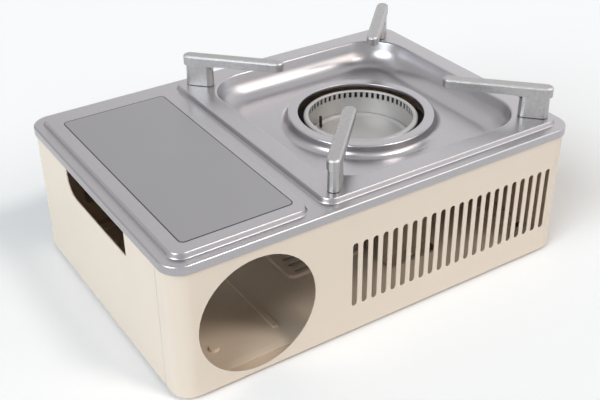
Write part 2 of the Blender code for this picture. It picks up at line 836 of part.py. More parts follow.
def top_plate(frame):
    """Pressed plate: skirt, ledge, panel land, valley, tray, burner collar and hem."""
    spare = 0.01
    piece = plate_volume("top_plate", 0)
    cut(piece, plate_volume("under_volume", SHEET))
    skirt_low = LEDGE_Z - SKIRT_DEPTH
    base = TRAY_FLOOR_Z - 0.03
    outer = centred_box(HALF_WIDTH + spare, HALF_DEPTH + spare, BODY_CORNER)
    inner = centred_box(HALF_WIDTH - 0.002, HALF_DEPTH - 0.002, BODY_CORNER - 0.002)
    trim = prism("trim", outer, base, skirt_low)
    cut(trim, prism("trim_inside", inner, base - spare, skirt_low + spare))
    cut(piece, trim)
    hem_low = (BURNER_X, 0, base)
    hem_high = (BURNER_X, 0, COLLAR_Z - HEM_DEPTH)
    cut(piece, rod("hem_trim", OPENING_RADIUS + 2 * SHEET, hem_low, hem_high, 40))
    tools = []
    for (x, y), _turn, _reach in support_places():
        low = (x, y, CREST_Z - spare / 2)
        tools.append(rod("hole", SCREW_RADIUS + SCREW_PLAY, low, (x, y, CREST_Z + spare)))
    cut(piece, together("support_holes", tools))
    return finish(piece, frame, silver_enamel())


def support_arm(reach):
    """Arm with its cap over the foot, chamfered along the top and filleted under the root."""
    top = SUPPORT_HEIGHT
    chamfer = 0.0009
    half_foot = SUPPORT_FOOT_LENGTH / 2
    outer_end = -half_foot - SUPPORT_CAP_OVERHANG
    tip = reach - SUPPORT_TIP_RADIUS
    half_width = SUPPORT_ARM_WIDTH / 2
    rows = [
        (stadium(outer_end, tip, half_width), 0),
        (stadium(outer_end, tip, half_width), top - chamfer),
        (stadium(outer_end + chamfer, tip - chamfer, half_width - chamfer), top),
    ]
    arm = loft("arm", rows)
    fillet = 0.003
    under_arm = top - SUPPORT_ARM_DEPTH
    profile = [(outer_end - fillet, top - SUPPORT_CAP_DEPTH), (half_foot, top - SUPPORT_CAP_DEPTH)]
    centre = (half_foot + fillet, under_arm - fillet)
    steps = 4
    for step in range(steps + 1):
        turn = pi - pi / 2 * step / steps
        profile.append((centre[0] + fillet * cos(turn), centre[1] + fillet * sin(turn)))
    profile.append((tip + fillet, under_arm + 0.0005))
    profile.append((tip + fillet, top + fillet))
    profile.append((outer_end - fillet, top + fillet))
    keep(arm, prism("side", profile, -fillet - half_width, fillet + half_width, "Y"))
    return arm


def pot_supports(frame):
    """Four cast supports, each with a blind hole for its screw."""
    half_foot = SUPPORT_FOOT_LENGTH / 2
    half_thick = SUPPORT_FOOT_THICKNESS / 2
    draft = 0.0003
    hole_depth = 0.009
    for index, ((x, y), turn, reach) in enumerate(support_places(), start=1):
        foot_top = SUPPORT_HEIGHT - SUPPORT_CAP_DEPTH + 0.001
        piece = loft(
            f"pot_support_{index}",
            [
                (stadium(-half_foot - draft, half_foot + draft, half_thick + draft), GAP),
                (stadium(-half_foot, half_foot, half_thick), foot_top),
            ],
        )
        fuse(piece, support_arm(reach))
        cut(piece, rod("hole", SCREW_RADIUS + SCREW_PLAY / 2, (0, 0, -GAP), (0, 0, hole_depth)))
        finish(piece, frame, cast_metal())
        piece.location = (x, y, CREST_Z)
        piece.rotation_euler = (0, 0, turn)
        head_z = CREST_Z - SHEET - GAP
        screw(f"support_screw_{index}", 0.008, frame, (x, y, head_z), head_radius=0.0036)


def burner_body(frame):
    """Ring trough with its sloped cover and neck, open to the mixing tube."""
    outer = TROUGH_RADIUS
    inner = TROUGH_RADIUS - TROUGH_WALL
    neck = RIM_RADIUS + 0.0001
    neck_inner = neck - 0.0012
    neck_top = RIM_Z - RIM_THICKNESS - GAP
    cover_edge = TRAY_FLOOR_Z - 0.0034
    profile = [
        (PORT_RADIUS, TROUGH_UNDER_Z),
        (outer - 0.001, TROUGH_UNDER_Z),
        (outer, TROUGH_UNDER_Z + 0.001),
        (outer, cover_edge),
        (outer - 0.0012, cover_edge + 0.0018),
        (neck + 0.0012, cover_edge + 0.0034),
        (neck, cover_edge + 0.0046),
        (neck, neck_top),
        (neck_inner, neck_top),
        (neck_inner, cover_edge + 0.0038),
        (neck_inner + 0.0012, cover_edge + 0.0016),
        (inner - 0.001, cover_edge + 0.0001),
        (inner, cover_edge - 0.0012),
        (inner, TROUGH_Z),
        (PORT_RADIUS, TROUGH_Z),
    ]
    piece = turned("burner_body", profile, 32)
    reshape(piece, Matrix.Translation((BURNER_X, 0, 0)))
    start, end, _length = tube_line()
    cut(piece, rod("tube_hole", TUBE_RADIUS + GAP, start, end, 20))
    tools = []
    for x, y in burner_screw_places():
        low = (x, y, TROUGH_UNDER_Z - 0.002)
        high = (x, y, TROUGH_Z + 0.002)
        tools.append(rod("hole", SCREW_RADIUS + SCREW_PLAY, low, high))
    cut(piece, together("burner_holes", tools))
    return finish(piece, frame, cast_metal())


def burner_port_ring(frame):
    """Inner burner wall with the flame slots and the flat rim."""
    outer = PORT_RADIUS + PORT_WALL
    chamfer = 0.0003
    under_rim = RIM_Z - RIM_THICKNESS
    profile = [
        (PORT_RADIUS, TROUGH_Z + GAP),
        (outer, TROUGH_Z + GAP),
        (outer, under_rim),
        (RIM_RADIUS, under_rim),
        (RIM_RADIUS - chamfer, RIM_Z),
        (PORT_RADIUS + chamfer, RIM_Z),
    ]
    piece = turned("burner_port_ring", profile, PORT_COUNT)
    top = RIM_Z - PORT_BELOW_RIM
    low = top - PORT_HEIGHT
    tools = []
    for index in range(PORT_COUNT):
        near = (PORT_RADIUS - 0.001, -PORT_WIDTH / 2, low)
        slot = block("slot", near, (outer + 0.0005, PORT_WIDTH / 2, top))
        turn = Matrix.Rotation(2 * pi * (index + 0.5) / PORT_COUNT, 4, "Z")
        tools.append(reshape(slot, turn))
    cut(piece, together("slots", tools))
    reshape(piece, Matrix.Translation((BURNER_X, 0, 0)))
    return finish(piece, frame, burner_steel())


def electrode_place():
    """Centre of the spark rod."""
    return BURNER_X + 0.0138, -0.0267


def burner_bowl(frame):
    """Dish under the flames, with its skirt and flange below the trough."""
    wall = PORT_RADIUS - GAP
    flange = 0.040
    flange_top = BOWL_UNDER_Z + SHEET
    profile = [
        (0, BOWL_Z - SHEET),
        (wall - SHEET, BOWL_Z - SHEET),
        (wall - SHEET, BOWL_UNDER_Z),
        (flange, BOWL_UNDER_Z),
        (flange, flange_top),
        (wall, flange_top),
        (wall, BOWL_Z - 0.0004),
        (wall - 0.0004, BOWL_Z),
        (0, BOWL_Z),
    ]
    piece = turned("burner_bowl", profile, 32)
    reshape(piece, Matrix.Translation((BURNER_X, 0, 0)))
    x, y = electrode_place()
    cut(piece, rod("hole", 0.0018, (x, y, BOWL_Z - 0.005), (x, y, BOWL_Z + 0.005)))
    return finish(piece, frame, burner_steel())


def bracket_foot_places():
    """Centres of the screws between the burner bracket and the pan."""
    y = TROUGH_RADIUS + 0.0115
    return [(BURNER_X, -y), (BURNER_X, y)]


def burner_screw_places():
    """Centres of the screws between the burner bracket and the trough."""
    y = 0.0418
    return [(BURNER_X, -y), (BURNER_X, y)]


def burner_bracket(frame):
    """Bridge that carries the burner on the pan and holds the electrode."""
    top = BOWL_UNDER_Z - GAP
    leg = TROUGH_RADIUS + 0.006
    toe = leg + 0.011
    foot = PAN_FLOOR_Z + GAP
    thick = BRACKET_SHEET
    outline = [
        (-toe, foot),
        (-leg + thick, foot),
        (-leg + thick, top - thick),
        (leg - thick, top - thick),
        (leg - thick, foot),
        (toe, foot),
        (toe, foot + thick),
        (leg, foot + thick),
        (leg, top),
        (-leg, top),
        (-leg, foot + thick),
        (-toe, foot + thick),
    ]
    left = BURNER_X - BRACKET_HALF_WIDTH
    right = BURNER_X + BRACKET_HALF_WIDTH
    piece = prism("burner_bracket", outline, left, right, "X")
    spare = 0.004
    tools = []
    for x, y in bracket_foot_places():
        tools.append(rod("hole", SCREW_RADIUS + SCREW_PLAY, (x, y, foot - spare), (x, y, foot + spare)))
    for x, y in burner_screw_places():
        tools.append(rod("hole", SCREW_RADIUS + SCREW_PLAY, (x, y, top - spare), (x, y, top + spare)))
    x, y = electrode_place()
    tools.append(rod("hole", INSULATOR_RADIUS + GAP, (x, y, top - spare), (x, y, top + spare)))
    cut(piece, together("bracket_holes", tools))
    return finish(piece, frame, plated_steel())


def bracket_screws(frame):
    """Screws down into the pan and up into the trough."""
    for index, (x, y) in enumerate(bracket_foot_places(), start=1):
        head_z = PAN_FLOOR_Z + GAP + BRACKET_SHEET + GAP
        screw(f"bracket_screw_{index}", 0.0036, frame, (x, y, head_z), (0, 0.0001, -1))
    for index, (x, y) in enumerate(burner_screw_places(), start=1):
        head_z = BOWL_UNDER_Z - GAP - BRACKET_SHEET - GAP
        screw(f"burner_screw_{index}", 0.0065, frame, (x, y, head_z))


def electrode(frame):
    """Spark rod and the ceramic sleeve that holds it in the bracket."""
    x, y = electrode_place()
    sleeve_low = BOWL_UNDER_Z - 0.0095
    sleeve_high = BOWL_Z - SHEET - GAP
    tail = sleeve_low - 0.002
    tip = BOWL_Z + ELECTRODE_HEIGHT
    radius = ELECTRODE_RADIUS
    profile = [(0, tail), (radius, tail), (radius, tip - radius / 2), (radius / 2, tip), (0, tip)]
    pin = turned("electrode", profile, 10)
    finish(pin, frame, burner_steel())
    pin.location = (x, y, 0)
    bore = ELECTRODE_RADIUS + GAP
    seat = BOWL_UNDER_Z - GAP - BRACKET_SHEET - GAP
    ring = INSULATOR_RADIUS + 0.0014
    sleeve_profile = [
        (bore, sleeve_low),
        (INSULATOR_RADIUS, sleeve_low),
        (ring, seat - 0.0018),
        (ring, seat),
        (INSULATOR_RADIUS, seat),
        (INSULATOR_RADIUS - 0.0006, sleeve_high),
        (bore, sleeve_high),
    ]
    sleeve = turned("electrode_insulator", sleeve_profile, 14)
    finish(sleeve, frame, white_ceramic())
    sleeve.location = (x, y, 0)


def tube_line():
    """Start, end and length of the mixing tube's axis, from the nozzle side to inside the trough."""
    nozzle = Vector((NOZZLE_X, NOZZLE_Y, TUBE_Z))
    burner = Vector((BURNER_X, 0, TUBE_Z))
    along = (burner - nozzle).normalized()
    distance = (burner - nozzle).length
    start = nozzle + along * NOZZLE_TO_TUBE
    end = nozzle + along * (distance - TROUGH_RADIUS + 0.004)
    return start, end, (end - start).length


def mixing_tube(frame):
    """Flared tube that mixes gas with air and leads it into the trough."""
    start, end, length = tube_line()
    flare = 0.009
    bore = TUBE_RADIUS - TUBE_WALL
    throat = bore - 0.0012
    profile = [
        (TUBE_MOUTH_RADIUS, 0),
        (TUBE_RADIUS + 0.0012, flare * 0.6),
        (TUBE_RADIUS, flare),
        (TUBE_RADIUS, length),
        (bore, length),
        (throat, flare),
        (TUBE_MOUTH_RADIUS - TUBE_WALL, 0),
    ]
    piece = turned("mixing_tube", profile, 20)
    turn = Vector((0, 0, 1)).rotation_difference(end - start).to_matrix()
    placed(piece, turn, start)
    return finish(piece, frame, plated_steel())


def gas_nozzle(frame):
    """Brass jet screwed into the regulator's post."""
    start, end, _length = tube_line()
    along = (end - start).normalized()
    shank = 0.0025
    into_post = 0.004
    profile = [
        (0, -into_post),
        (shank, -into_post),
        (shank, GAP),
        (0.0044, GAP),
        (0.0044, NOZZLE_HEAD),
        (0.0030, NOZZLE_HEAD),
        (0.0014, NOZZLE_HEAD + NOZZLE_TIP),
        (0, NOZZLE_HEAD + NOZZLE_TIP),
    ]
    piece = turned("gas_nozzle", profile, 12)
    face = Vector((NOZZLE_X, NOZZLE_Y, TUBE_Z)) + along * (NOZZLE_POST_RADIUS + GAP)
    jet = rod("jet", 0.0005, (0, 0, 0), (0, 0, 0.012), 10)
    cut(piece, jet)
    placed(piece, Vector((0, 0, 1)).rotation_difference(along).to_matrix(), face)
    return finish(piece, frame, brass())


def lug_places():
    """Centres of the regulator's screw lugs, as X and Z."""
    z = CARTRIDGE_Z - LUG_OFFSET
    return [(CARTRIDGE_X - LUG_OFFSET, z), (CARTRIDGE_X + LUG_OFFSET, z)]


def regulator_body(frame):
    """Die-cast regulator: diaphragm housing, cartridge inlet, valve block and nozzle post."""
    housing_radius = 0.017
    inlet_radius = 0.011
    lug_radius = 0.0045
    axis = (CARTRIDGE_X, CARTRIDGE_Z)
    piece = prism("regulator_body", circle(housing_radius, axis, 28), REGULATOR_FRONT, REGULATOR_BACK, "Y")
    fuse(piece, prism("inlet", circle(inlet_radius, axis, 20), REGULATOR_BACK - 0.002, INLET_BACK, "Y"))
    valve = rounded_box(NOZZLE_X - 0.003, CARTRIDGE_X, SPINDLE_Z - 0.0075, SPINDLE_Z + 0.0075, 0.003, 4)
    fuse(piece, prism("valve_block", valve, VALVE_FRONT, VALVE_BACK, "Y"))
    post_low = (NOZZLE_X, NOZZLE_Y, SPINDLE_Z - 0.004)
    post_high = (NOZZLE_X, NOZZLE_Y, TUBE_Z + NOZZLE_POST_RADIUS)
    fuse(piece, rod("post", NOZZLE_POST_RADIUS, post_low, post_high, 20))
    for x, z in lug_places():
        fuse(piece, prism("lug", circle(lug_radius, (x, z), 14), COVER_FRONT, REGULATOR_BACK - 0.004, "Y"))
    spare = 0.004
    tools = [prism("stem_bore", circle(0.0025, axis), INLET_BACK - 0.014, INLET_BACK + spare, "Y")]
    for x, z in lug_places():
        hole = circle(SCREW_RADIUS + SCREW_PLAY, (x, z))
        tools.append(prism("screw_bore", hole, COVER_FRONT - spare, COVER_FRONT + 0.010, "Y"))
    bore = circle(SPINDLE_RADIUS + GAP, (SPINDLE_X, SPINDLE_Z))
    tools.append(prism("spindle_bore", bore, VALVE_FRONT - spare, VALVE_FRONT + 0.009, "Y"))
    start, end, _length = tube_line()
    along = (end - start).normalized()
    centre = Vector((NOZZLE_X, NOZZLE_Y, TUBE_Z))
    inner = centre + along * (NOZZLE_POST_RADIUS + GAP - 0.0045)
    tools.append(rod("nozzle_bore", 0.0028, inner, centre + along * (NOZZLE_POST_RADIUS + spare)))
    cut(piece, together("bores", tools))
    seal_seat = circle(SEAL_RADIUS + GAP, axis, 18)
    cut(piece, prism("seal_seat", seal_seat, INLET_BACK - SEAL_SEAT, INLET_BACK + spare, "Y"))
    face = centre + along * (NOZZLE_POST_RADIUS + GAP + 0.010)
    flat = rod("flat", 0.0052, centre + along * (NOZZLE_POST_RADIUS - 0.0001), face)
    cut(piece, flat)
    return finish(piece, frame, cast_metal())


def inlet_seal(frame):
    """Rubber ring that closes on the cartridge's stem."""
    bore = 0.0026
    chamfer = 0.0004
    low = GAP
    high = SEAL_SEAT - 0.0003
    profile = [
        (bore, low),
        (SEAL_RADIUS, low),
        (SEAL_RADIUS, high - chamfer),
        (SEAL_RADIUS - chamfer, high),
        (bore + chamfer, high),
        (bore, high - chamfer),
    ]
    piece = turned("inlet_seal", profile, 18)
    facing_rear(piece, (CARTRIDGE_X, INLET_BACK - SEAL_SEAT, CARTRIDGE_Z))
    return finish(piece, frame, black_rubber())


def regulator_cover(frame):
    """Domed cover over the diaphragm."""
    radius = 0.0155
    profile = [
        (0, 0),
        (radius, 0),
        (radius, 0.0014),
        (radius - 0.0030, 0.0022),
        (radius - 0.0045, COVER_THICKNESS),
        (0, COVER_THICKNESS),
    ]
    piece = turned("regulator_cover", profile, 24)
    facing_front(piece, (CARTRIDGE_X, COVER_FRONT + COVER_THICKNESS, CARTRIDGE_Z))
    return finish(piece, frame, plated_steel())


def regulator_bracket(frame):
    """Plate behind the front wall with two ears for the lever's pin."""
    low = CARTRIDGE_Z - 0.0225
    high = LEVER_Z + FINGER_REACH - TAB_THICKNESS / 2 - GAP
    left = CARTRIDGE_X - 0.0225
    right = CARTRIDGE_X + 0.0225
    piece = prism(
        "regulator_bracket",
        rounded_box(left, right, low, high, 0.003, 3),
        BRACKET_FRONT,
        BRACKET_BACK,
        "Y",
    )
    ear_low = LEVER_Z - 0.005
    ear_back = LEVER_Y + 0.005
    for side in (-1, 1):
        inner = CARTRIDGE_X + side * EAR_GAP
        outer = CARTRIDGE_X + side * (EAR_GAP + EAR_THICKNESS)
        radii = (0.003, 0.0008, 0.0004, 0.0004)
        outline = rounded_box(BRACKET_BACK - 0.001, ear_back, ear_low, high, radii, 2)
        fuse(piece, prism("ear", outline, min(inner, outer), max(inner, outer), "X"))
    spare = 0.002
    across = (CARTRIDGE_X - 0.02, CARTRIDGE_X + 0.02)
    pin_hole = circle(PIN_RADIUS + GAP, (LEVER_Y, LEVER_Z))
    cut(piece, prism("pin_hole", pin_hole, *across, "X"))
    wall = (BRACKET_FRONT - spare, BRACKET_BACK + spare)
    tools = [prism("lever_opening", lever_slot(), *wall, "Y")]
    for x, z in lug_places():
        tools.append(prism("screw_hole", circle(SCREW_RADIUS + SCREW_PLAY, (x, z)), *wall, "Y"))
    cut(piece, together("openings", tools))
    return finish(piece, frame, plated_steel())


def regulator_screws(frame):
    """Screws through the front wall and the bracket into the regulator's lugs."""
    for index, (x, z) in enumerate(lug_places(), start=1):
        screw(f"regulator_screw_{index}", 0.010, frame, (x, -HALF_DEPTH - GAP, z), (0, 1, 0.0001))


def lever_pin(frame):
    """Headed pin through both ears and the lever's hub."""
    head = 0.0024
    half = EAR_GAP + EAR_THICKNESS + GAP
    profile = [
        (0, -half - 0.0012),
        (head, -half - 0.0012),
        (head, -half),
        (PIN_RADIUS, -half),
        (PIN_RADIUS, half),
        (PIN_RADIUS - 0.0003, half + 0.0012),
        (0, half + 0.0012),
    ]
    piece = turned("lever_pin", profile, 12)
    placed(piece, Matrix.Rotation(pi / 2, 3, "Y"), (CARTRIDGE_X, LEVER_Y, LEVER_Z))
    return finish(piece, frame, plated_steel())


def lock_lever(frame):
    """Steel lever: hub on the pin, arm out through the front wall, finger up to the clamp."""
    hub = 0.004
    half_hub = EAR_GAP - GAP
    half_arm = LEVER_ARM_WIDTH / 2
    thick = FINGER_THICKNESS / 2
    origin = (CARTRIDGE_X, LEVER_Y, LEVER_Z)
    outer = -HALF_DEPTH - KNOB_REACH + 0.0035 - LEVER_Y
    piece = prism("lock_lever", circle(hub, steps=20), -half_hub, half_hub, "X")
    fuse(piece, block("arm", (-half_arm, outer, -thick), (half_arm, 0, thick)))
    finger = FINGER_REACH + TAB_THICKNESS
    fuse(piece, block("finger", (-0.003, -thick, 0), (0.003, thick, finger)))
    cut(piece, prism("bore", circle(PIN_RADIUS + GAP), -0.02, 0.02, "X"))
    finish(piece, frame, plated_steel())
    piece.location = origin
    return piece


def lever_cap(frame):
    """Plastic thumb piece pushed over the lever's arm."""
    length = 0.012
    front = -HALF_DEPTH - KNOB_REACH + 0.0005 - LEVER_Y
    back = front + length
    half_width = 0.010
    half_height = 0.004
    edge = 0.001
    full = centred_box(half_width, half_height, 0.003)
    small = centred_box(half_width - edge, half_height - edge, 0.003 - edge)
    piece = loft("lever_cap", [(small, front), (full, front + edge), (full, back - edge), (small, back)])
    reshape(piece, Matrix(((1, 0, 0, 0), (0, 0, 1, 0), (0, 1, 0, 0), (0, 0, 0, 1))))
    half_arm = LEVER_ARM_WIDTH / 2 + GAP
    thick = FINGER_THICKNESS / 2 + GAP
    pocket_front = -HALF_DEPTH - KNOB_REACH + 0.0035 - GAP - LEVER_Y
    cut(piece, block("pocket", (-half_arm, pocket_front, -thick), (half_arm, back + 0.001, thick)))
    finish(piece, frame, dark_plastic())
    piece.location = (CARTRIDGE_X, LEVER_Y, LEVER_Z)
    return piece


def cartridge_clamp(frame):
    """Ring that grips the cartridge's collar, with a web and a tab up to the lever's finger."""
    front = INLET_BACK + 0.0025 + CLAMP_TRAVEL
    back = front + 0.0015
    outer = 0.024
    bore = 0.0165
    axis = (CARTRIDGE_X, CARTRIDGE_Z)
    piece = prism("cartridge_clamp", circle(outer, axis, 28), front, back, "Y")
    cut(piece, prism("bore", circle(bore, axis, 28), front - 0.001, back + 0.001, "Y"))
    notch = rounded_box(CARTRIDGE_X - 0.005, CARTRIDGE_X + 0.005, CARTRIDGE_Z - 0.03, CARTRIDGE_Z, 0.001, 2)
    cut(piece, prism("notch", notch, front - 0.001, back + 0.001, "Y"))
    tab_low = LEVER_Z + FINGER_REACH - TAB_THICKNESS / 2
    tab_high = tab_low + TAB_THICKNESS
    half_web = 0.006
    web_low = CARTRIDGE_Z + (outer + bore) / 2
    web_high = (CARTRIDGE_X + half_web, back, tab_high - 0.0002)
    fuse(piece, block("web", (CARTRIDGE_X - half_web, front, web_low), web_high))
    half_tab = EAR_GAP + EAR_THICKNESS + 0.0015
    tab_front = LEVER_Y - 0.005
    tab = rounded_box(CARTRIDGE_X - half_tab, CARTRIDGE_X + half_tab, tab_front, back - 0.0001, 0.0015, 3)
    fuse(piece, prism("tab", tab, tab_low, tab_high))
    slot_x = 0.0035
    slot_y = FINGER_THICKNESS / 2 + 0.0007
    low = (CARTRIDGE_X - slot_x, LEVER_Y - slot_y, tab_low - 0.001)
    high = (CARTRIDGE_X + slot_x, LEVER_Y + slot_y, tab_high + 0.001)
    cut(piece, block("slot", low, high))
    return finish(piece, frame, plated_steel(), (CARTRIDGE_X, LEVER_Y, LEVER_Z + FINGER_REACH))


def valve_spindle(frame):
    """Rod from the valve through the cam to the knob."""
    inner = VALVE_FRONT + 0.008
    outer = -HALF_DEPTH - KNOB_REACH + 0.007
    piece = rod("valve_spindle", SPINDLE_RADIUS, (0, inner, 0), (0, outer, 0), 20)
    finish(piece, frame, brass())
    piece.location = (SPINDLE_X, 0, SPINDLE_Z)
    return piece


def cam_radius(angle):
    """Cam radius at an angle in degrees: level, then a spiral below the spindle, then a short dwell."""
    start = -90
    dwell = 20
    if start - KNOB_TURN_DEGREES - dwell <= angle <= start:
        share = min((start - angle) / KNOB_TURN_DEGREES, 1)
        return CAM_RADIUS + PLUNGER_TRAVEL * share
    return CAM_RADIUS


def igniter_cam(frame):
    """Spiral cam that presses the igniter's plunger as the knob turns."""
    step = 8
    first = -200
    outline = []
    for angle in range(first, first + 360, step):
        turn = radians(angle)
        radius = cam_radius(angle)
        outline.append((radius * cos(turn), radius * sin(turn)))
    piece = prism("igniter_cam", outline, CAM_FRONT, CAM_BACK, "Y")
    cut(piece, prism("bore", circle(SPINDLE_RADIUS + GAP), CAM_FRONT - 0.001, CAM_BACK + 0.001, "Y"))
    finish(piece, frame, dark_plastic())
    piece.location = (SPINDLE_X, 0, SPINDLE_Z)
    return piece


def control_bezel(frame):
    """Flat ring behind the knob."""
    profile = [
        (SPINDLE_RADIUS + 0.001, 0),
        (BEZEL_RADIUS, 0),
        (BEZEL_RADIUS, BEZEL_THICKNESS * 0.5),
        (BEZEL_RADIUS - 0.0005, BEZEL_THICKNESS),
        (SPINDLE_RADIUS + 0.001, BEZEL_THICKNESS),
    ]
    piece = turned("control_bezel", profile, 32)
    facing_front(piece, (SPINDLE_X, -HALF_DEPTH - GAP, SPINDLE_Z))
    return finish(piece, frame, silver_enamel())


def control_knob(frame):
    """Round knob with a raised grip bar and a blind bore for the spindle."""
    back = GAP + BEZEL_THICKNESS + GAP
    reach = KNOB_REACH - back
    base = 0.0065
    profile = [
        (0, 0),
        (KNOB_RADIUS - 0.0004, 0),
        (KNOB_RADIUS, 0.0006),
        (KNOB_RADIUS - 0.0006, base - 0.0012),
        (KNOB_RADIUS - 0.0018, base),
        (0, base),
    ]
    piece = turned("control_knob", profile, 32)
    half_length = KNOB_RADIUS - 0.0022
    half_width = 0.0048
    rows = [
        (stadium(-half_length, half_length, half_width), base - 0.001),
        (stadium(-half_length + 0.0006, half_length - 0.0006, half_width - 0.0006), reach - 0.0012),
        (stadium(-half_length + 0.0018, half_length - 0.0018, half_width - 0.0018), reach),
    ]
    fuse(piece, loft("grip", rows))
    spindle_end = KNOB_REACH - 0.007 - back + GAP
    cut(piece, rod("bore", SPINDLE_RADIUS + GAP, (0, 0, -0.001), (0, 0, spindle_end)))
    turn = Matrix.Rotation(pi / 2, 3, "Z")
    placed(piece, turn, (0, 0, 0))
    facing_front(piece, (0, 0, 0))
    finish(piece, frame, dark_plastic())
    piece.location = (SPINDLE_X, -HALF_DEPTH - back, SPINDLE_Z)
    return piece


def piezo_igniter(frame):
    """Piezo body on the pan's edge, open at the top, and the plunger under the cam."""
    low = PAN_FLANGE_Z + GAP
    tip = SPINDLE_Z - CAM_RADIUS - PLUNGER_CLEARANCE
    stick_out = 0.0099
    high = tip - stick_out
    half_x = 0.006
    front = FRONT_INSIDE + GAP
    back = PLUNGER_Y + 0.005
    outline = rounded_box(SPINDLE_X - half_x, SPINDLE_X + half_x, front, back, 0.0015, 3)
    body = prism("piezo_body", outline, low, high)
    plunger_low = high - 0.009
    bore_low = plunger_low - PLUNGER_TRAVEL - 0.0005
    bore = PLUNGER_RADIUS + GAP
    cut(body, rod("bore", bore, (SPINDLE_X, PLUNGER_Y, bore_low), (SPINDLE_X, PLUNGER_Y, high + 0.001)))
    finish(body, frame, dark_plastic())
    profile = [
        (0, plunger_low - tip),
        (PLUNGER_RADIUS, plunger_low - tip),
        (PLUNGER_RADIUS, -0.0012),
        (PLUNGER_RADIUS * 0.6, -0.0003),
        (0, 0),
    ]
    plunger = turned("piezo_plunger", profile, 14)
    finish(plunger, frame, white_ceramic())
    plunger.location = (SPINDLE_X, PLUNGER_Y, tip)


def lead_route():
    """Chosen points of the spark lead, from the piezo body along the floor to the electrode's tail."""
    x, y = electrode_place()
    tail = BOWL_UNDER_Z - 0.0115
    floor = PAN_FLOOR_Z + GAP + LEAD_RADIUS
    side = SPINDLE_X - 0.006 - GAP
    return [
        (side, PLUNGER_Y, 0.014),
        (side - 0.008, PLUNGER_Y, 0.0125),
        (side - 0.018, -0.084, 0.0075),
        (side - 0.030, -0.079, floor + 0.0012),
        (side - 0.044, -0.074, floor),
        (side - 0.058, -0.067, floor),
        (side - 0.070, -0.056, floor),
        (side - 0.0745, -0.046, floor + 0.002),
        (x + 0.0045, -0.036, 0.012),
        (x + 0.0005, y - 0.0015, 0.022),
        (x, y, 0.032),
        (x, y, tail - GAP),
    ]


def smooth_route(points, spacing):
    """Points along a smooth curve through the route, about one spacing apart."""
    ends = [points[0], *points, points[-1]]
    route = [Vector(point) for point in ends]
    result = [route[1]]
    for index in range(1, len(route) - 2):
        before, start, end, after = route[index - 1 : index + 3]
        pieces = max(1, round((end - start).length / spacing))
        for piece in range(1, pieces + 1):
            share = piece / pieces
            square = share * share
            cube = square * share
            point = 0.5 * (
                2 * start
                + (end - before) * share
                + (2 * before - 5 * start + 4 * end - after) * square
                + (3 * start - before - 3 * end + after) * cube
            )
            result.append(point)
    return result


def igniter_lead(frame):
    """Insulated lead from the piezo body to the electrode."""
    points = smooth_route(lead_route(), 5 * LEAD_RADIUS)
    curve = bpy.data.curves.new("igniter_lead", "CURVE")
    curve.dimensions = "3D"
    curve.bevel_depth = LEAD_RADIUS
    curve.bevel_resolution = 2
    curve.use_fill_caps = True
    spline = curve.splines.new("POLY")
    spline.points.add(len(points) - 1)
    for knot, point in zip(spline.points, points):
        knot.co = (*point, 1)
    cord = bpy.data.objects.new("igniter_lead", curve)
    bpy.context.scene.collection.objects.link(cord)
    curve.materials.append(black_rubber())
    cord.parent = frame
    return cord


def heat_shield(frame):
    """Upright sheet between the burner and the front of the cartridge bay, hung under the valley."""
    x = VALLEY_X + 0.0015
    rear = -0.008
    step_y = VALVE_BACK + 0.009
    front = FRONT_INSIDE + 0.006
    low = PAN_FLOOR_Z + GAP
    high = WALL_TOP_Z
    step_z = TUBE_Z + NOZZLE_POST_RADIUS + 0.005
    outline = [(step_y, low), (rear, low), (rear, high), (front, high), (front, step_z), (step_y, step_z)]
    piece = prism("heat_shield", outline, x, x + SHEET, "X")
    flange = 0.006
    fuse(piece, block("top_flange", (x - flange, front, high - SHEET), (x + SHEET / 2, rear, high)))
    fuse(piece, block("foot_flange", (x - flange, step_y, low), (x + SHEET / 2, rear, low + SHEET)))
    return finish(piece, frame, plated_steel())


def cartridge_saddle(frame):
    """Cradle on the pan that carries the front of the cartridge."""
    half_x = BEAD_FROM_CARTRIDGE - BEAD_HALF_WIDTH - 0.0015
    front = -0.034
    thick = 0.0012
    low = PAN_FLOOR_Z + GAP
    high = CARTRIDGE_Z - 0.020
    rest = CARTRIDGE_HOLE_RADIUS - 0.0033
    left = CARTRIDGE_X - half_x
    right = CARTRIDGE_X + half_x
    outline = rounded_box(left, right, low, high, 0.001, 1)
    piece = prism("cartridge_saddle", outline, front, front + thick, "Y")
    hollow = circle(rest, (CARTRIDGE_X, CARTRIDGE_Z), 48)
    cut(piece, prism("rest", hollow, front - thick, front + 2 * thick, "Y"))
    toe_left = CARTRIDGE_X - 0.020
    toe_right = CARTRIDGE_X + 0.020
    fuse(piece, block("toe", (toe_left, front + thick / 2, low), (toe_right, front + 0.010, low + thick)))
    return finish(piece, frame, plated_steel())


def body_frame():
    """Empty in the middle of the body, on the floor."""
    frame = bpy.data.objects.new("body_frame", None)
    frame.location = (0, BODY_Y, 0)
    bpy.context.scene.collection.objects.link(frame)
    return frame


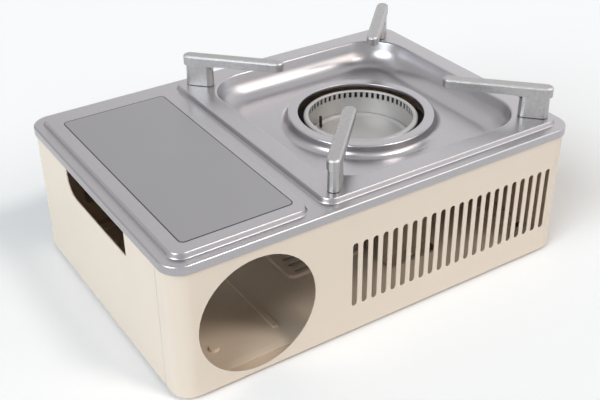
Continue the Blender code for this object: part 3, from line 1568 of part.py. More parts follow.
def build():
    """All pieces of the stove."""
    for old in list(bpy.data.objects):
        bpy.data.objects.remove(old)
    frame = body_frame()
    front_shell(frame)
    rear_panel(frame)
    bottom_pan(frame)
    rubber_feet(frame)
    pan_screws(frame)
    top_plate(frame)
    pot_supports(frame)
    burner_body(frame)
    burner_port_ring(frame)
    burner_bowl(frame)
    burner_bracket(frame)
    bracket_screws(frame)
    electrode(frame)
    mixing_tube(frame)
    gas_nozzle(frame)
    regulator_body(frame)
    regulator_cover(frame)
    inlet_seal(frame)
    regulator_bracket(frame)
    regulator_screws(frame)
    lever_pin(frame)
    lock_lever(frame)
    lever_cap(frame)
    cartridge_clamp(frame)
    valve_spindle(frame)
    igniter_cam(frame)
    control_bezel(frame)
    control_knob(frame)
    piezo_igniter(frame)
    igniter_lead(frame)
    heat_shield(frame)
    cartridge_saddle(frame)


build()
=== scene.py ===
"""Camp gas stove: finishes, pressed top plate, small marks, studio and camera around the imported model.

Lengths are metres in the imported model's own frame. X runs along the width with +X towards the cartridge
side, -Y is the control side and +Z is up.
"""

import json
import logging
from dataclasses import dataclass
from enum import Enum
from math import cos, pi, radians, sin, tan

import bmesh
import bpy
from bmesh.types import BMEdge, BMesh, BMVert
from bpy.types import Material, Node, NodeSocket, NodeTree, Object
from mathutils import Matrix, Vector


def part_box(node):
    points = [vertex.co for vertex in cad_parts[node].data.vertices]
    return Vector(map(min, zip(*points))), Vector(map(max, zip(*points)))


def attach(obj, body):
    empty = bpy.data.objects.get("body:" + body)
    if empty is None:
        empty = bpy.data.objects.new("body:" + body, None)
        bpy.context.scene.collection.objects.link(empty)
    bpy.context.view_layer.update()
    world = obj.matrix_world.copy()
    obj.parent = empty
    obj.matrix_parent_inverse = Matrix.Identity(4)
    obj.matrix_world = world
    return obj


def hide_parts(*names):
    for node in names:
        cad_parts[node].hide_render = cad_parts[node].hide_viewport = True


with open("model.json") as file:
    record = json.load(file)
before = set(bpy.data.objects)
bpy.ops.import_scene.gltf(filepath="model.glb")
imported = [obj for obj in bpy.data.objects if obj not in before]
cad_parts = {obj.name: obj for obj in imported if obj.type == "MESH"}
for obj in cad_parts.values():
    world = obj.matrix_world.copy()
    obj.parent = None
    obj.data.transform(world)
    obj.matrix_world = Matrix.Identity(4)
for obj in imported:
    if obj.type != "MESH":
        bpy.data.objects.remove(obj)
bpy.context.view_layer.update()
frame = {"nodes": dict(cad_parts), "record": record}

LOG = logging.getLogger("camp_stove")
MM = 0.001
MERGE = 0.001 * MM
# Angle past which an edge is shaded sharp, and rays of each soft edge.
SHARP = radians(35.0)
BEVEL_RAYS = 4
# Pieces in a small round edge and in a wide curve.
EDGE_BENDS = 6
WIDE_BENDS = 12
# Middle of the stove from the side, place of the burner and height of the raised lands.
MIDDLE = 8.5 * MM
BURNER = (-48.8 * MM, MIDDLE)
CREST = 94.9 * MM
LEVEL = (1.0, 1.0, 0.0)
NOWHERE = (0.0, 0.0, 0.0)
WHITE = (1.0, 1.0, 1.0)
Pair = tuple[float, float]
Triple = tuple[float, float, float]
Row = list[BMEdge]


class Slot(Enum):
    """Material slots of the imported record."""

    CREAM = "cream_enamel"
    SILVER = "silver_enamel"
    CAST = "cast_metal"
    PLATED = "plated_steel"
    BURNER = "burner_steel"
    BRASS = "brass"
    PLASTIC = "dark_plastic"
    RUBBER = "black_rubber"
    CERAMIC = "white_ceramic"


class Tree:
    """A node tree with short calls for adding and joining nodes."""

    def __init__(self, tree: NodeTree, effects: "Effects | None" = None) -> None:
        """Wraps a node tree, and keeps the shared groups that it may use."""
        self.tree = tree
        self.effects = effects

    def add(self, kind: str, inputs: dict | None = None, **settings: object) -> Node:
        """Adds a node.

        Args:
            kind: the node's type name without its leading ShaderNode.
            inputs: values or output sockets by input name or number.
            settings: attributes of the node itself.

        Returns:
            The new node.
        """
        node = self.tree.nodes.new(kind if kind.startswith("NodeGroup") else "ShaderNode" + kind)
        for name, value in settings.items():
            setattr(node, name, value)
        self.join(node.inputs, inputs or {})
        return node

    def join(self, sockets: object, values: dict) -> None:
        """Joins output sockets to inputs, or sets the inputs' values.

        Args:
            sockets: the inputs.
            values: an output socket, a number or a tuple, by the input's name or number.
        """
        for name, value in values.items():
            if isinstance(value, NodeSocket):
                self.tree.links.new(value, sockets[name])
            else:
                sockets[name].default_value = value

    def math(self, operation: str, *values: object) -> NodeSocket:
        """Adds a Math node of the operation on numbers or sockets, and returns its output."""
        return self.add("Math", dict(enumerate(values)), operation=operation).outputs[0]

    def vector(self, operation: str, *values: object) -> NodeSocket:
        """Adds a Vector Math node, and returns its output, a number for a length or a dot product."""
        result = "Value" if operation in ("LENGTH", "DOT_PRODUCT") else "Vector"
        return self.add("VectorMath", dict(enumerate(values)), operation=operation).outputs[result]

    def blend(self, factor: object, first: object, second: object, kind: str = "RGBA") -> NodeSocket:
        """Adds a Mix node from first to second, and returns its output."""
        return self.add("Mix", {"Factor": factor, "A": first, "B": second}, data_type=kind).outputs["Result"]

    def remap(self, value: NodeSocket, span: Pair, result: Pair = (0.0, 1.0)) -> NodeSocket:
        """Maps the span of a value to the result, held at both ends, and returns the output."""
        ends = {"From Min": span[0], "From Max": span[1], "To Min": result[0], "To Max": result[1]}
        return self.add("MapRange", {"Value": value, **ends}).outputs["Result"]

    def object_place(self) -> NodeSocket:
        """Adds the place on the surface in the object's own coordinates."""
        return self.add("TexCoord").outputs["Object"]


class Effects:
    """Shader node groups that several finishes share, each made once.

    Attributes:
        edge_match: match of the rounded and the true normal on a flat face and on an edge.
        corner_match: least match of a normal with the round corner's own.
    """

    edge_match: Pair = (0.995, 0.9)
    corner_match: float = 0.9

    def __init__(self) -> None:
        """Builds every group."""
        self.cloud = self.make_cloud()
        self.grain = self.make_grain()
        self.edge = self.make_edge()
        self.inside = self.make_inside()

    @staticmethod
    def group(name: str, inputs: dict, outputs: tuple[str, ...]) -> tuple[Tree, object, object]:
        """Starts a group with its sockets.

        Args:
            name: name of the group.
            inputs: default values by input name; a tuple makes a vector input.
            outputs: names of the outputs; Normal is a vector, the others are values.

        Returns:
            The tree, the sockets that bring the inputs in, and those that take the outputs.
        """
        made = bpy.data.node_groups.new(name, "ShaderNodeTree")
        for label, value in inputs.items():
            kind = "NodeSocketVector" if isinstance(value, tuple) else "NodeSocketFloat"
            made.interface.new_socket(name=label, in_out="INPUT", socket_type=kind).default_value = value
        for label in outputs:
            kind = "NodeSocketVector" if label == "Normal" else "NodeSocketFloat"
            made.interface.new_socket(name=label, in_out="OUTPUT", socket_type=kind)
        tree = Tree(made)
        return tree, tree.add("NodeGroupInput").outputs, tree.add("NodeGroupOutput").inputs

    def make_cloud(self) -> NodeTree:
        """Makes slow, soft variation over the surface.

        Returns:
            A group with a Mask output from 0 to 1.
        """
        tree, given, out = self.group("cloud", {"Scale": 30.0, "Contrast": 0.25}, ("Mask",))
        noise = tree.add("TexNoise", {"Vector": tree.object_place(), "Scale": given["Scale"], "Detail": 3.0})
        low = tree.math("SUBTRACT", 0.5, given["Contrast"])
        high = tree.math("ADD", 0.5, given["Contrast"])
        tree.join(out, {"Mask": tree.remap(noise.outputs["Fac"], (low, high))})
        return tree.tree

    def make_grain(self) -> NodeTree:
        """Makes fine bumps such as orange peel, blasting marks or moulded grain.

        Returns:
            A group with a Height output from 0 to 1.
        """
        tree, given, out = self.group("grain", {"Scale": 900.0, "Pits": 0.3}, ("Height",))
        place = tree.object_place()
        noise = tree.add("TexNoise", {"Vector": place, "Scale": given["Scale"], "Detail": 2.0})
        cells = tree.add("TexVoronoi", {"Vector": place, "Scale": given["Scale"]})
        pits = tree.math("MULTIPLY", cells.outputs["Distance"], given["Pits"])
        tree.join(out, {"Height": tree.math("ADD", noise.outputs["Fac"], pits)})
        return tree.tree

    def make_edge(self) -> NodeTree:
        """Finds the edges of a piece, where a finish takes a painted highlight.

        Returns:
            A group with a Mask output, 1 on an edge.
        """
        tree, given, out = self.group("edge", {"Radius": 0.0006}, ("Mask",))
        rounded = tree.add("Bevel", {"Radius": given["Radius"]}, samples=BEVEL_RAYS).outputs[0]
        match = tree.vector("DOT_PRODUCT", rounded, tree.add("NewGeometry").outputs["Normal"])
        tree.join(out, {"Mask": tree.remap(match, self.edge_match)})
        return tree.tree

    def make_inside(self) -> NodeTree:
        """Finds the inner faces of the body, which get painted shade, and its upright round corners.

        Returns:
            A group with a Mask output, 1 inside the body's walls, a Corner output, 1 on a round corner, and
            the true Normal there.
        """
        inputs = {"Centre": NOWHERE, "Core": (0.1, 0.1, 0.0), "Reach": 0.01}
        tree, given, out = self.group("inside", inputs, ("Mask", "Corner", "Normal"))
        offset = tree.vector("SUBTRACT", tree.object_place(), given["Centre"])
        folded = tree.vector("ABSOLUTE", tree.vector("MULTIPLY", offset, LEVEL))
        clear = tree.vector("MAXIMUM", tree.vector("SUBTRACT", folded, given["Core"]), NOWHERE)
        near = tree.math("LESS_THAN", tree.vector("LENGTH", clear), given["Reach"])
        outwards = tree.vector("NORMALIZE", tree.vector("MULTIPLY", clear, tree.vector("SIGN", offset)))
        match = tree.vector("DOT_PRODUCT", outwards, tree.add("NewGeometry").outputs["Normal"])
        sides = tree.add("SeparateXYZ", {0: clear}).outputs
        past_both = tree.math("GREATER_THAN", tree.math("MINIMUM", sides["X"], sides["Y"]), 0.0)
        close = tree.math("GREATER_THAN", tree.math("ABSOLUTE", match), self.corner_match)
        side = tree.math("SIGN", match)
        facing = tree.add("CombineXYZ", {"X": side, "Y": side, "Z": side}).outputs[0]
        normal = tree.vector("MULTIPLY", outwards, facing)
        tree.join(out, {"Mask": near, "Corner": tree.math("MULTIPLY", past_both, close), "Normal": normal})
        return tree.tree


@dataclass(frozen=True)
class Finish:
    """A surface finish: its plain values and how far they vary over the piece.

    Attributes:
        slot: the record's material slot.
        colour: base colour, linear.
        roughness: middle roughness.
        metallic: 0 for paint, plastic and ceramic, 1 for metal.
        tone: how far the colour varies each way, as a share.
        tone_scale: patches of tone per metre.
        rough_spread: how far roughness varies each way.
        grain_scale: bumps per metre.
        grain_depth: height of the bumps.
        pits: share of round pits in the bumps.
        edge_radius: how wide edges catch the light.
        edge_painted_highlight: lighter colour painted on the edges as a highlight, or None.
        rough_patches: patches of roughness for each patch of tone.
    """

    slot: Slot
    colour: Triple
    roughness: float
    metallic: float = 0.0
    tone: float = 0.03
    tone_scale: float = 30.0
    rough_spread: float = 0.04
    grain_scale: float = 900.0
    grain_depth: float = 1e-5
    pits: float = 0.3
    edge_radius: float = 0.0002
    edge_painted_highlight: Triple | None = None
    rough_patches: float = 4.0

    def material(self, effects: Effects, name: str | None = None) -> Material:
        """Builds the material with its colour, roughness and bumps.

        Args:
            effects: the shared node groups.
            name: the material's name, or None for the slot's own.

        Returns:
            The new material.
        """
        made = bpy.data.materials.new(name or self.slot.value)
        made.use_nodes = True
        tree = Tree(made.node_tree, effects)
        scale = {"Scale": self.tone_scale * self.rough_patches}
        cloud = tree.add("Group", scale, node_tree=effects.cloud).outputs["Mask"]
        spread = (self.roughness - self.rough_spread, self.roughness + self.rough_spread)
        bumps = {"Height": self.height(tree), "Distance": self.grain_depth, "Strength": 1.0}
        if self.edge_radius:
            bumps["Normal"] = self.rounded(tree)
        inputs = {"Base Color": self.base_colour(tree), "Metallic": self.metallic}
        inputs["Roughness"] = tree.remap(cloud, (0.0, 1.0), spread)
        inputs["Normal"] = tree.add("Bump", bumps).outputs[0]
        tree.join(made.node_tree.nodes["Principled BSDF"].inputs, inputs)
        return made

    def shade(self, share: float) -> tuple[float, float, float, float]:
        """Base colour made lighter or darker by a share, with alpha."""
        return (*(min(1.0, channel * (1.0 + share)) for channel in self.colour), 1.0)

    def base_colour(self, tree: Tree) -> NodeSocket:
        """Builds the colour that varies over the surface.

        Args:
            tree: the material's tree.

        Returns:
            An output socket for Base Color.
        """
        cloud = tree.add("Group", {"Scale": self.tone_scale}, node_tree=tree.effects.cloud).outputs["Mask"]
        colour = tree.blend(cloud, self.shade(-self.tone), self.shade(self.tone))
        # Painted highlight: a lighter colour on the edges, where the edge mask is 1.
        if self.edge_painted_highlight is not None:
            edge = tree.add("Group", {"Radius": self.edge_radius * 2}, node_tree=tree.effects.edge)
            colour = tree.blend(edge.outputs["Mask"], colour, (*self.edge_painted_highlight, 1.0))
        return colour

    def height(self, tree: Tree) -> NodeSocket:
        """Builds the height of the fine bumps, for a Bump node's Height."""
        inputs = {"Scale": self.grain_scale, "Pits": self.pits}
        return tree.add("Group", inputs, node_tree=tree.effects.grain).outputs["Height"]

    def rounded(self, tree: Tree) -> NodeSocket:
        """Builds the normal with softened edges, for a Bump node's Normal."""
        return tree.add("Bevel", {"Radius": self.edge_radius}, samples=BEVEL_RAYS).outputs[0]


@dataclass(frozen=True)
class FlakePaint(Finish):
    """Silver paint with fine metal flakes.

    Attributes:
        flake_scale: flakes per metre.
        flake_span: flake values that start to shine and that shine most.
        sparkle: how much lighter the brightest flake is, as a share.
    """

    flake_scale: float = 4000.0
    flake_span: Pair = (0.4, 1.0)
    sparkle: float = 0.10

    def base_colour(self, tree: Tree) -> NodeSocket:
        """Builds the flake colour over the cloudy one.

        Args:
            tree: the material's tree.

        Returns:
            An output socket for Base Color.
        """
        cloud = super().base_colour(tree)
        cells = tree.add("TexVoronoi", {"Vector": tree.object_place(), "Scale": self.flake_scale})
        flakes = tree.add("SeparateColor", {0: cells.outputs["Color"]}).outputs[0]
        return tree.blend(tree.remap(flakes, self.flake_span, (0.0, self.sparkle)), cloud, (*WHITE, 1.0))


@dataclass(frozen=True)
class BodyPaint(Finish):
    """Body paint, with painted shade on the inner faces: darker and warmer there.

    Attributes:
        inside_painted_shade: darker, warmer colour of the inner faces, painted shade.
        core: half width and half depth between the centres of the corner radii.
        reach: corner radius to the middle of the sheet.
    """

    # Painted shade: the inner faces are darker and warmer than the outer paint.
    inside_painted_shade: Triple = (0.70, 0.545, 0.41)
    core: Triple = (0.1295, 0.0865, 0.0)
    reach: float = 0.0116

    def place(self, tree: Tree) -> bpy.types.bpy_prop_collection:
        """Places the group that knows the body's shape, and gives its outputs."""
        inputs = {"Centre": (0.0, MIDDLE, 0.0), "Core": self.core, "Reach": self.reach}
        return tree.add("Group", inputs, node_tree=tree.effects.inside).outputs

    def base_colour(self, tree: Tree) -> NodeSocket:
        """Builds the paint's colour outside and the painted shade inside, for Base Color."""
        outer = super().base_colour(tree)
        # Painted shade on the inner faces, where the body's mask is 1.
        return tree.blend(self.place(tree)["Mask"], outer, (*self.inside_painted_shade, 1.0))

    def rounded(self, tree: Tree) -> NodeSocket:
        """Builds the normal with softened edges and smooth upright corners, for a Bump node's Normal."""
        found = self.place(tree)
        return tree.blend(found["Corner"], super().rounded(tree), found["Normal"], "VECTOR")


@dataclass(frozen=True)
class TurnedMetal(Finish):
    """Metal with the fine rings of a spinning tool round the burner's axis.

    Attributes:
        ring_scale: rings per metre.
    """

    ring_scale: float = 1500.0

    def height(self, tree: Tree) -> NodeSocket:
        """Builds the height of the rings.

        Args:
            tree: the material's tree.

        Returns:
            An output socket for a Bump node's Height.
        """
        offset = tree.vector("SUBTRACT", tree.object_place(), (*BURNER, 0.0))
        radius = tree.vector("LENGTH", tree.vector("MULTIPLY", offset, LEVEL))
        line = {"W": radius, "Scale": self.ring_scale, "Detail": 2.0}
        return tree.add("TexNoise", line, noise_dimensions="1D").outputs["Fac"]


@dataclass(frozen=True)
class Finishes:
    """Every finish of the stove, in the colours that the photograph shows or such a stove has."""

    cream: Finish = BodyPaint(
        Slot.CREAM, (0.74, 0.645, 0.545), 0.40, tone=0.012, tone_scale=25.0, grain_depth=6e-6, pits=0.0
    )
    # Painted light: the bay's floor sheet has the body's cream paint made lighter.
    pan_painted_light: Finish = Finish(
        Slot.CREAM, (0.86, 0.71, 0.555), 0.34, tone=0.015, tone_scale=25.0, grain_depth=6e-6, pits=0.0
    )
    silver: Finish = FlakePaint(
        Slot.SILVER, (0.43, 0.415, 0.43), 0.30, 1.0, tone=0.015, rough_spread=0.012, grain_scale=1500.0,
        grain_depth=1.2e-6, pits=0.0, edge_radius=0.0,
    )
    # Cast supports: painted highlight along their edges, a lighter colour there.
    cast: Finish = Finish(
        Slot.CAST, (0.42, 0.41, 0.405), 0.42, 1.0, tone=0.10, tone_scale=500.0, grain_scale=1500.0,
        grain_depth=9e-5, pits=0.6, edge_radius=0.0007, edge_painted_highlight=(0.55, 0.54, 0.54),
    )
    plated: Finish = Finish(Slot.PLATED, (0.40, 0.355, 0.30), 0.38, 1.0, tone=0.08, tone_scale=90.0, pits=0.0)
    burner: Finish = TurnedMetal(
        Slot.BURNER, (0.50, 0.485, 0.475), 0.48, 0.65, tone=0.05, tone_scale=60.0, grain_depth=2e-6,
        edge_radius=0.0,
    )
    rod: Finish = Finish(Slot.BURNER, (0.05, 0.043, 0.04), 0.45, 1.0, tone=0.25, tone_scale=300.0)
    # Burner casting painted near black, far darker than the cast slot's colour.
    near_black_cast: Finish = Finish(
        Slot.CAST, (0.06, 0.055, 0.05), 0.6, 0.6, tone=0.3, tone_scale=120.0, grain_scale=1500.0,
        grain_depth=5e-5, pits=0.5,
    )
    film: Finish = Finish(
        Slot.SILVER, (0.355, 0.345, 0.36), 0.38, 1.0, tone=0.012, rough_spread=0.008, grain_scale=2500.0,
        grain_depth=1e-6, pits=0.0, edge_radius=0.0,
    )
    ink: Finish = Finish(
        Slot.SILVER, (0.045, 0.043, 0.045), 0.5, tone=0.1, tone_scale=200.0, pits=0.0, edge_radius=0.0
    )
    brass: Finish = Finish(Slot.BRASS, (0.72, 0.50, 0.21), 0.27, 1.0, tone=0.05, tone_scale=150.0)
    plastic: Finish = Finish(
        Slot.PLASTIC, (0.028, 0.027, 0.027), 0.46, tone=0.10, grain_scale=3000.0, grain_depth=3e-5, pits=0.8,
        edge_radius=0.0004,
    )
    rubber: Finish = Finish(
        Slot.RUBBER, (0.018, 0.018, 0.019), 0.78, tone=0.15, grain_scale=1800.0, grain_depth=3e-5
    )
    ceramic: Finish = Finish(
        Slot.CERAMIC, (0.80, 0.785, 0.74), 0.16, tone=0.02, grain_scale=300.0, grain_depth=8e-6
    )
    inlay: Finish = Finish(
        Slot.CERAMIC, (0.80, 0.79, 0.77), 0.45, tone=0.02, tone_scale=200.0, edge_radius=0.0
    )

    def dress_nodes(self, effects: Effects) -> dict[str, Material]:
        """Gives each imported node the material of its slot; nodes keep their shape and place.

        Args:
            effects: the shared node groups.

        Returns:
            The materials by slot name.
        """
        metals = (self.silver, self.cast, self.plated, self.burner, self.brass)
        every = (self.cream, *metals, self.plastic, self.rubber, self.ceramic)
        made = {finish.slot.value: finish.material(effects) for finish in every}
        special = {
            # The bay's floor sheet gets the lighter copy of the cream paint, as painted light.
            "bottom_pan": self.pan_painted_light.material(effects, "pan_enamel_painted_light"),
            "electrode": self.rod.material(effects, "heat_tinted_steel"),
            # The burner casting is painted near black.
            "burner_body": self.near_black_cast.material(effects, "near_black_casting"),
        }
        for part in frame["record"]["subparts"]:
            node = frame["nodes"][part["node"]]
            material = special.get(part["node"], made[part["material_slot"]])
            node.data.materials.clear()
            node.data.materials.append(material)
            LOG.info("%s: %s", part["node"], material.name)
        return made


def smooth(share: float) -> float:
    """Share of a rise that starts and ends level."""
    return share * share * (3.0 - 2.0 * share)


def shares(steps: int) -> list[float]:
    """Even shares from 0 to 1."""
    return [step / steps for step in range(steps + 1)]


def quarter(bends: int) -> list[Pair]:
    """Round edge from its upright side to its top: how far in and how far below, as shares of the radius."""
    turns = [pi / 2 * share for share in shares(bends)]
    return [(1 - cos(turn), 1 - sin(turn)) for turn in turns]


@dataclass(frozen=True)
class Outline:
    """A level rectangle with round corners.

    Attributes:
        half_x: half its width.
        half_y: half its depth.
        corner: corner radius.
        height: height above the floor.
        centre: middle of the rectangle.
    """

    half_x: float
    half_y: float
    corner: float
    height: float
    centre: Pair

    def grown(self, run: float, height: float) -> "Outline":
        """Gives the outline moved outwards by the run, at another height."""
        return Outline(self.half_x + run, self.half_y + run, self.corner + run, height, self.centre)

    def edges(self, shape: BMesh, steps: int) -> Row:
        """Adds the outline as a closed row of edges.

        Args:
            shape: mesh that gets it.
            steps: edges in each corner.

        Returns:
            The new edges.
        """
        scratch = bmesh.new()
        bmesh.ops.create_grid(scratch, x_segments=1, y_segments=1, size=1.0)
        bmesh.ops.scale(scratch, vec=(self.half_x, self.half_y, 1.0), verts=scratch.verts)
        bend = {"offset": self.corner, "segments": steps, "profile": 0.5, "affect": "VERTICES"}
        bmesh.ops.bevel(scratch, geom=scratch.verts[:], material=-1, **bend)
        bmesh.ops.translate(scratch, vec=(*self.centre, self.height), verts=scratch.verts)
        bmesh.ops.delete(scratch, geom=scratch.faces[:], context="FACES_ONLY")
        before = len(shape.edges)
        mesh = mesh_from(scratch, "outline")
        shape.from_mesh(mesh)
        bpy.data.meshes.remove(mesh)
        shape.edges.ensure_lookup_table()
        return shape.edges[before:]

    def carry(self, other: "Outline", place: Vector) -> Vector:
        """Moves a point of this outline to the matching point of another.

        Args:
            other: the outline to reach.
            place: a point on this outline.

        Returns:
            The matching point.
        """
        result = []
        for axis, (half, new_half) in enumerate(((self.half_x, other.half_x), (self.half_y, other.half_y))):
            side = 1.0 if place[axis] > self.centre[axis] else -1.0
            turn = (place[axis] - self.centre[axis] - side * (half - self.corner)) / self.corner
            result.append(other.centre[axis] + side * (new_half - other.corner) + turn * other.corner)
        return Vector((*result, other.height))


def mesh_from(shape: BMesh, name: str) -> bpy.types.Mesh:
    """Writes the shape to a new mesh and frees it.

    Args:
        shape: the finished shape.
        name: name of the mesh.

    Returns:
        The mesh.
    """
    mesh = bpy.data.meshes.new(name)
    shape.to_mesh(mesh)
    shape.free()
    return mesh


def object_of(name: str, data: bpy.types.ID) -> Object:
    """Puts a new object in the scene, at the origin.

    Args:
        name: name of the object.
        data: its mesh, lamp or camera.

    Returns:
        The object.
    """
    made = bpy.data.objects.new(name, data)
    bpy.context.scene.collection.objects.link(made)
    return made


def extrude_rows(shape: BMesh, outlines: list[Outline], steps: int) -> tuple[Row, Row]:
    """Makes a wall through the outlines.

    Args:
        shape: mesh that gets the wall.
        outlines: rows of the wall in order.
        steps: edges in each corner.

    Returns:
        The edges of the first row and of the last row.
    """
    first = row = outlines[0].edges(shape, steps)
    for start, end in zip(outlines, outlines[1:]):
        made = bmesh.ops.extrude_edge_only(shape, edges=row)["geom"]
        moved = {item for item in made if isinstance(item, BMVert)}
        for vert in moved:
            vert.co = start.carry(end, vert.co)
        row = [item for item in made if isinstance(item, BMEdge) and set(item.verts) <= moved]
    return first, row


def raised_slab(outline: Outline, thickness: float, steps: int = 8) -> BMesh:
    """Builds a thin slab with round corners.

    Args:
        outline: its lower edge.
        thickness: its height.
        steps: edges in each corner.

    Returns:
        The slab's mesh.
    """
    shape = bmesh.new()
    bmesh.ops.contextual_create(shape, geom=outline.edges(shape, steps))
    made = bmesh.ops.extrude_face_region(shape, geom=shape.faces[:])["geom"]
    top = [item for item in made if isinstance(item, BMVert)]
    bmesh.ops.translate(shape, vec=(0, 0, thickness), verts=top)
    bmesh.ops.recalc_face_normals(shape, faces=shape.faces)
    return shape


def pressed_wall(run: float, drop: float, angle: float, convex: float, bends: int) -> list[Pair]:
    """Run and drop down a pressed wall: a convex edge, a straight face and a concave foot in the rest.

    Args:
        run: width of the wall from above.
        drop: its height.
        angle: slope of the straight face, in degrees.
        convex: radius of the upper edge.
        bends: pieces in each curve.

    Returns:
        Run and drop of each point.
    """
    slope = radians(angle)
    concave = (run - drop / tan(slope)) / tan(slope / 2) - convex
    turns = [slope * share for share in shares(bends)]
    points = [(convex * sin(turn), convex * (1 - cos(turn))) for turn in turns]
    foot = [(run - concave * sin(turn), drop - concave * (1 - cos(turn))) for turn in reversed(turns)]
    return points + foot


def spun(shape: BMesh, profile: list[Pair], steps: int) -> None:
    """Spins a profile of radius and height a full turn about the burner's axis.

    Args:
        shape: mesh that gets the surface.
        profile: radius and height of each point.
        steps: pieces in the turn.
    """
    row = [shape.verts.new((BURNER[0] + radius, BURNER[1], height)) for radius, height in profile]
    edges = [shape.edges.new(pair) for pair in zip(row, row[1:])]
    turn = {"cent": (*BURNER, 0.0), "axis": (0, 0, 1), "angle": 2 * pi, "steps": steps, "use_merge": True}
    bmesh.ops.spin(shape, geom=row + edges, **turn)
    bmesh.ops.remove_doubles(shape, verts=shape.verts, dist=MERGE)


def circle_edges(shape: BMesh, place: Triple, radius: float, segments: int) -> Row:
    """Adds a level circle of edges.

    Args:
        shape: mesh that gets it.
        place: its middle.
        radius: its radius.
        segments: number of edges.

    Returns:
        The edges in order.
    """
    where = Matrix.Translation(place)
    ring = bmesh.ops.create_circle(shape, segments=segments, radius=radius, matrix=where)["verts"]
    return list(dict.fromkeys(edge for vert in ring for edge in vert.link_edges))


def open_rims(shape: BMesh, low: float, high: float) -> Row:
    """Edges with one face whose distance from the burner's axis is between the two."""
    rims = [edge for edge in shape.edges if edge.is_boundary]
    return [edge for edge in rims if low < (edge.verts[0].co.xy - Vector(BURNER)).length < high]


def thicken(shape: BMesh, sheet: float) -> None:
    """Turns an open surface face up and gives it the sheet's thickness below.

    Args:
        shape: the surface.
        sheet: thickness of the sheet.
    """
    bmesh.ops.recalc_face_normals(shape, faces=shape.faces)
    if sum(face.normal.z * face.calc_area() for face in shape.faces) < 0:
        bmesh.ops.reverse_faces(shape, faces=shape.faces)
    bmesh.ops.solidify(shape, geom=shape.faces[:], thickness=sheet)


def piece_from(shape: BMesh, name: str, material: Material, body: str) -> Object:
    """Turns the shape into a piece that rides on a body.

    Args:
        shape: the finished mesh, which is freed.
        name: name of the piece.
        material: its material.
        body: body that it rides on.

    Returns:
        The piece.
    """
    mesh = mesh_from(shape, name)
    mesh.materials.append(material)
    mesh.shade_smooth()
    mesh.set_sharp_from_angle(angle=SHARP)
    piece = object_of(name, mesh)
    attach(piece, body)
    LOG.info("%s: %d faces on %s", name, len(mesh.polygons), body)
    return piece


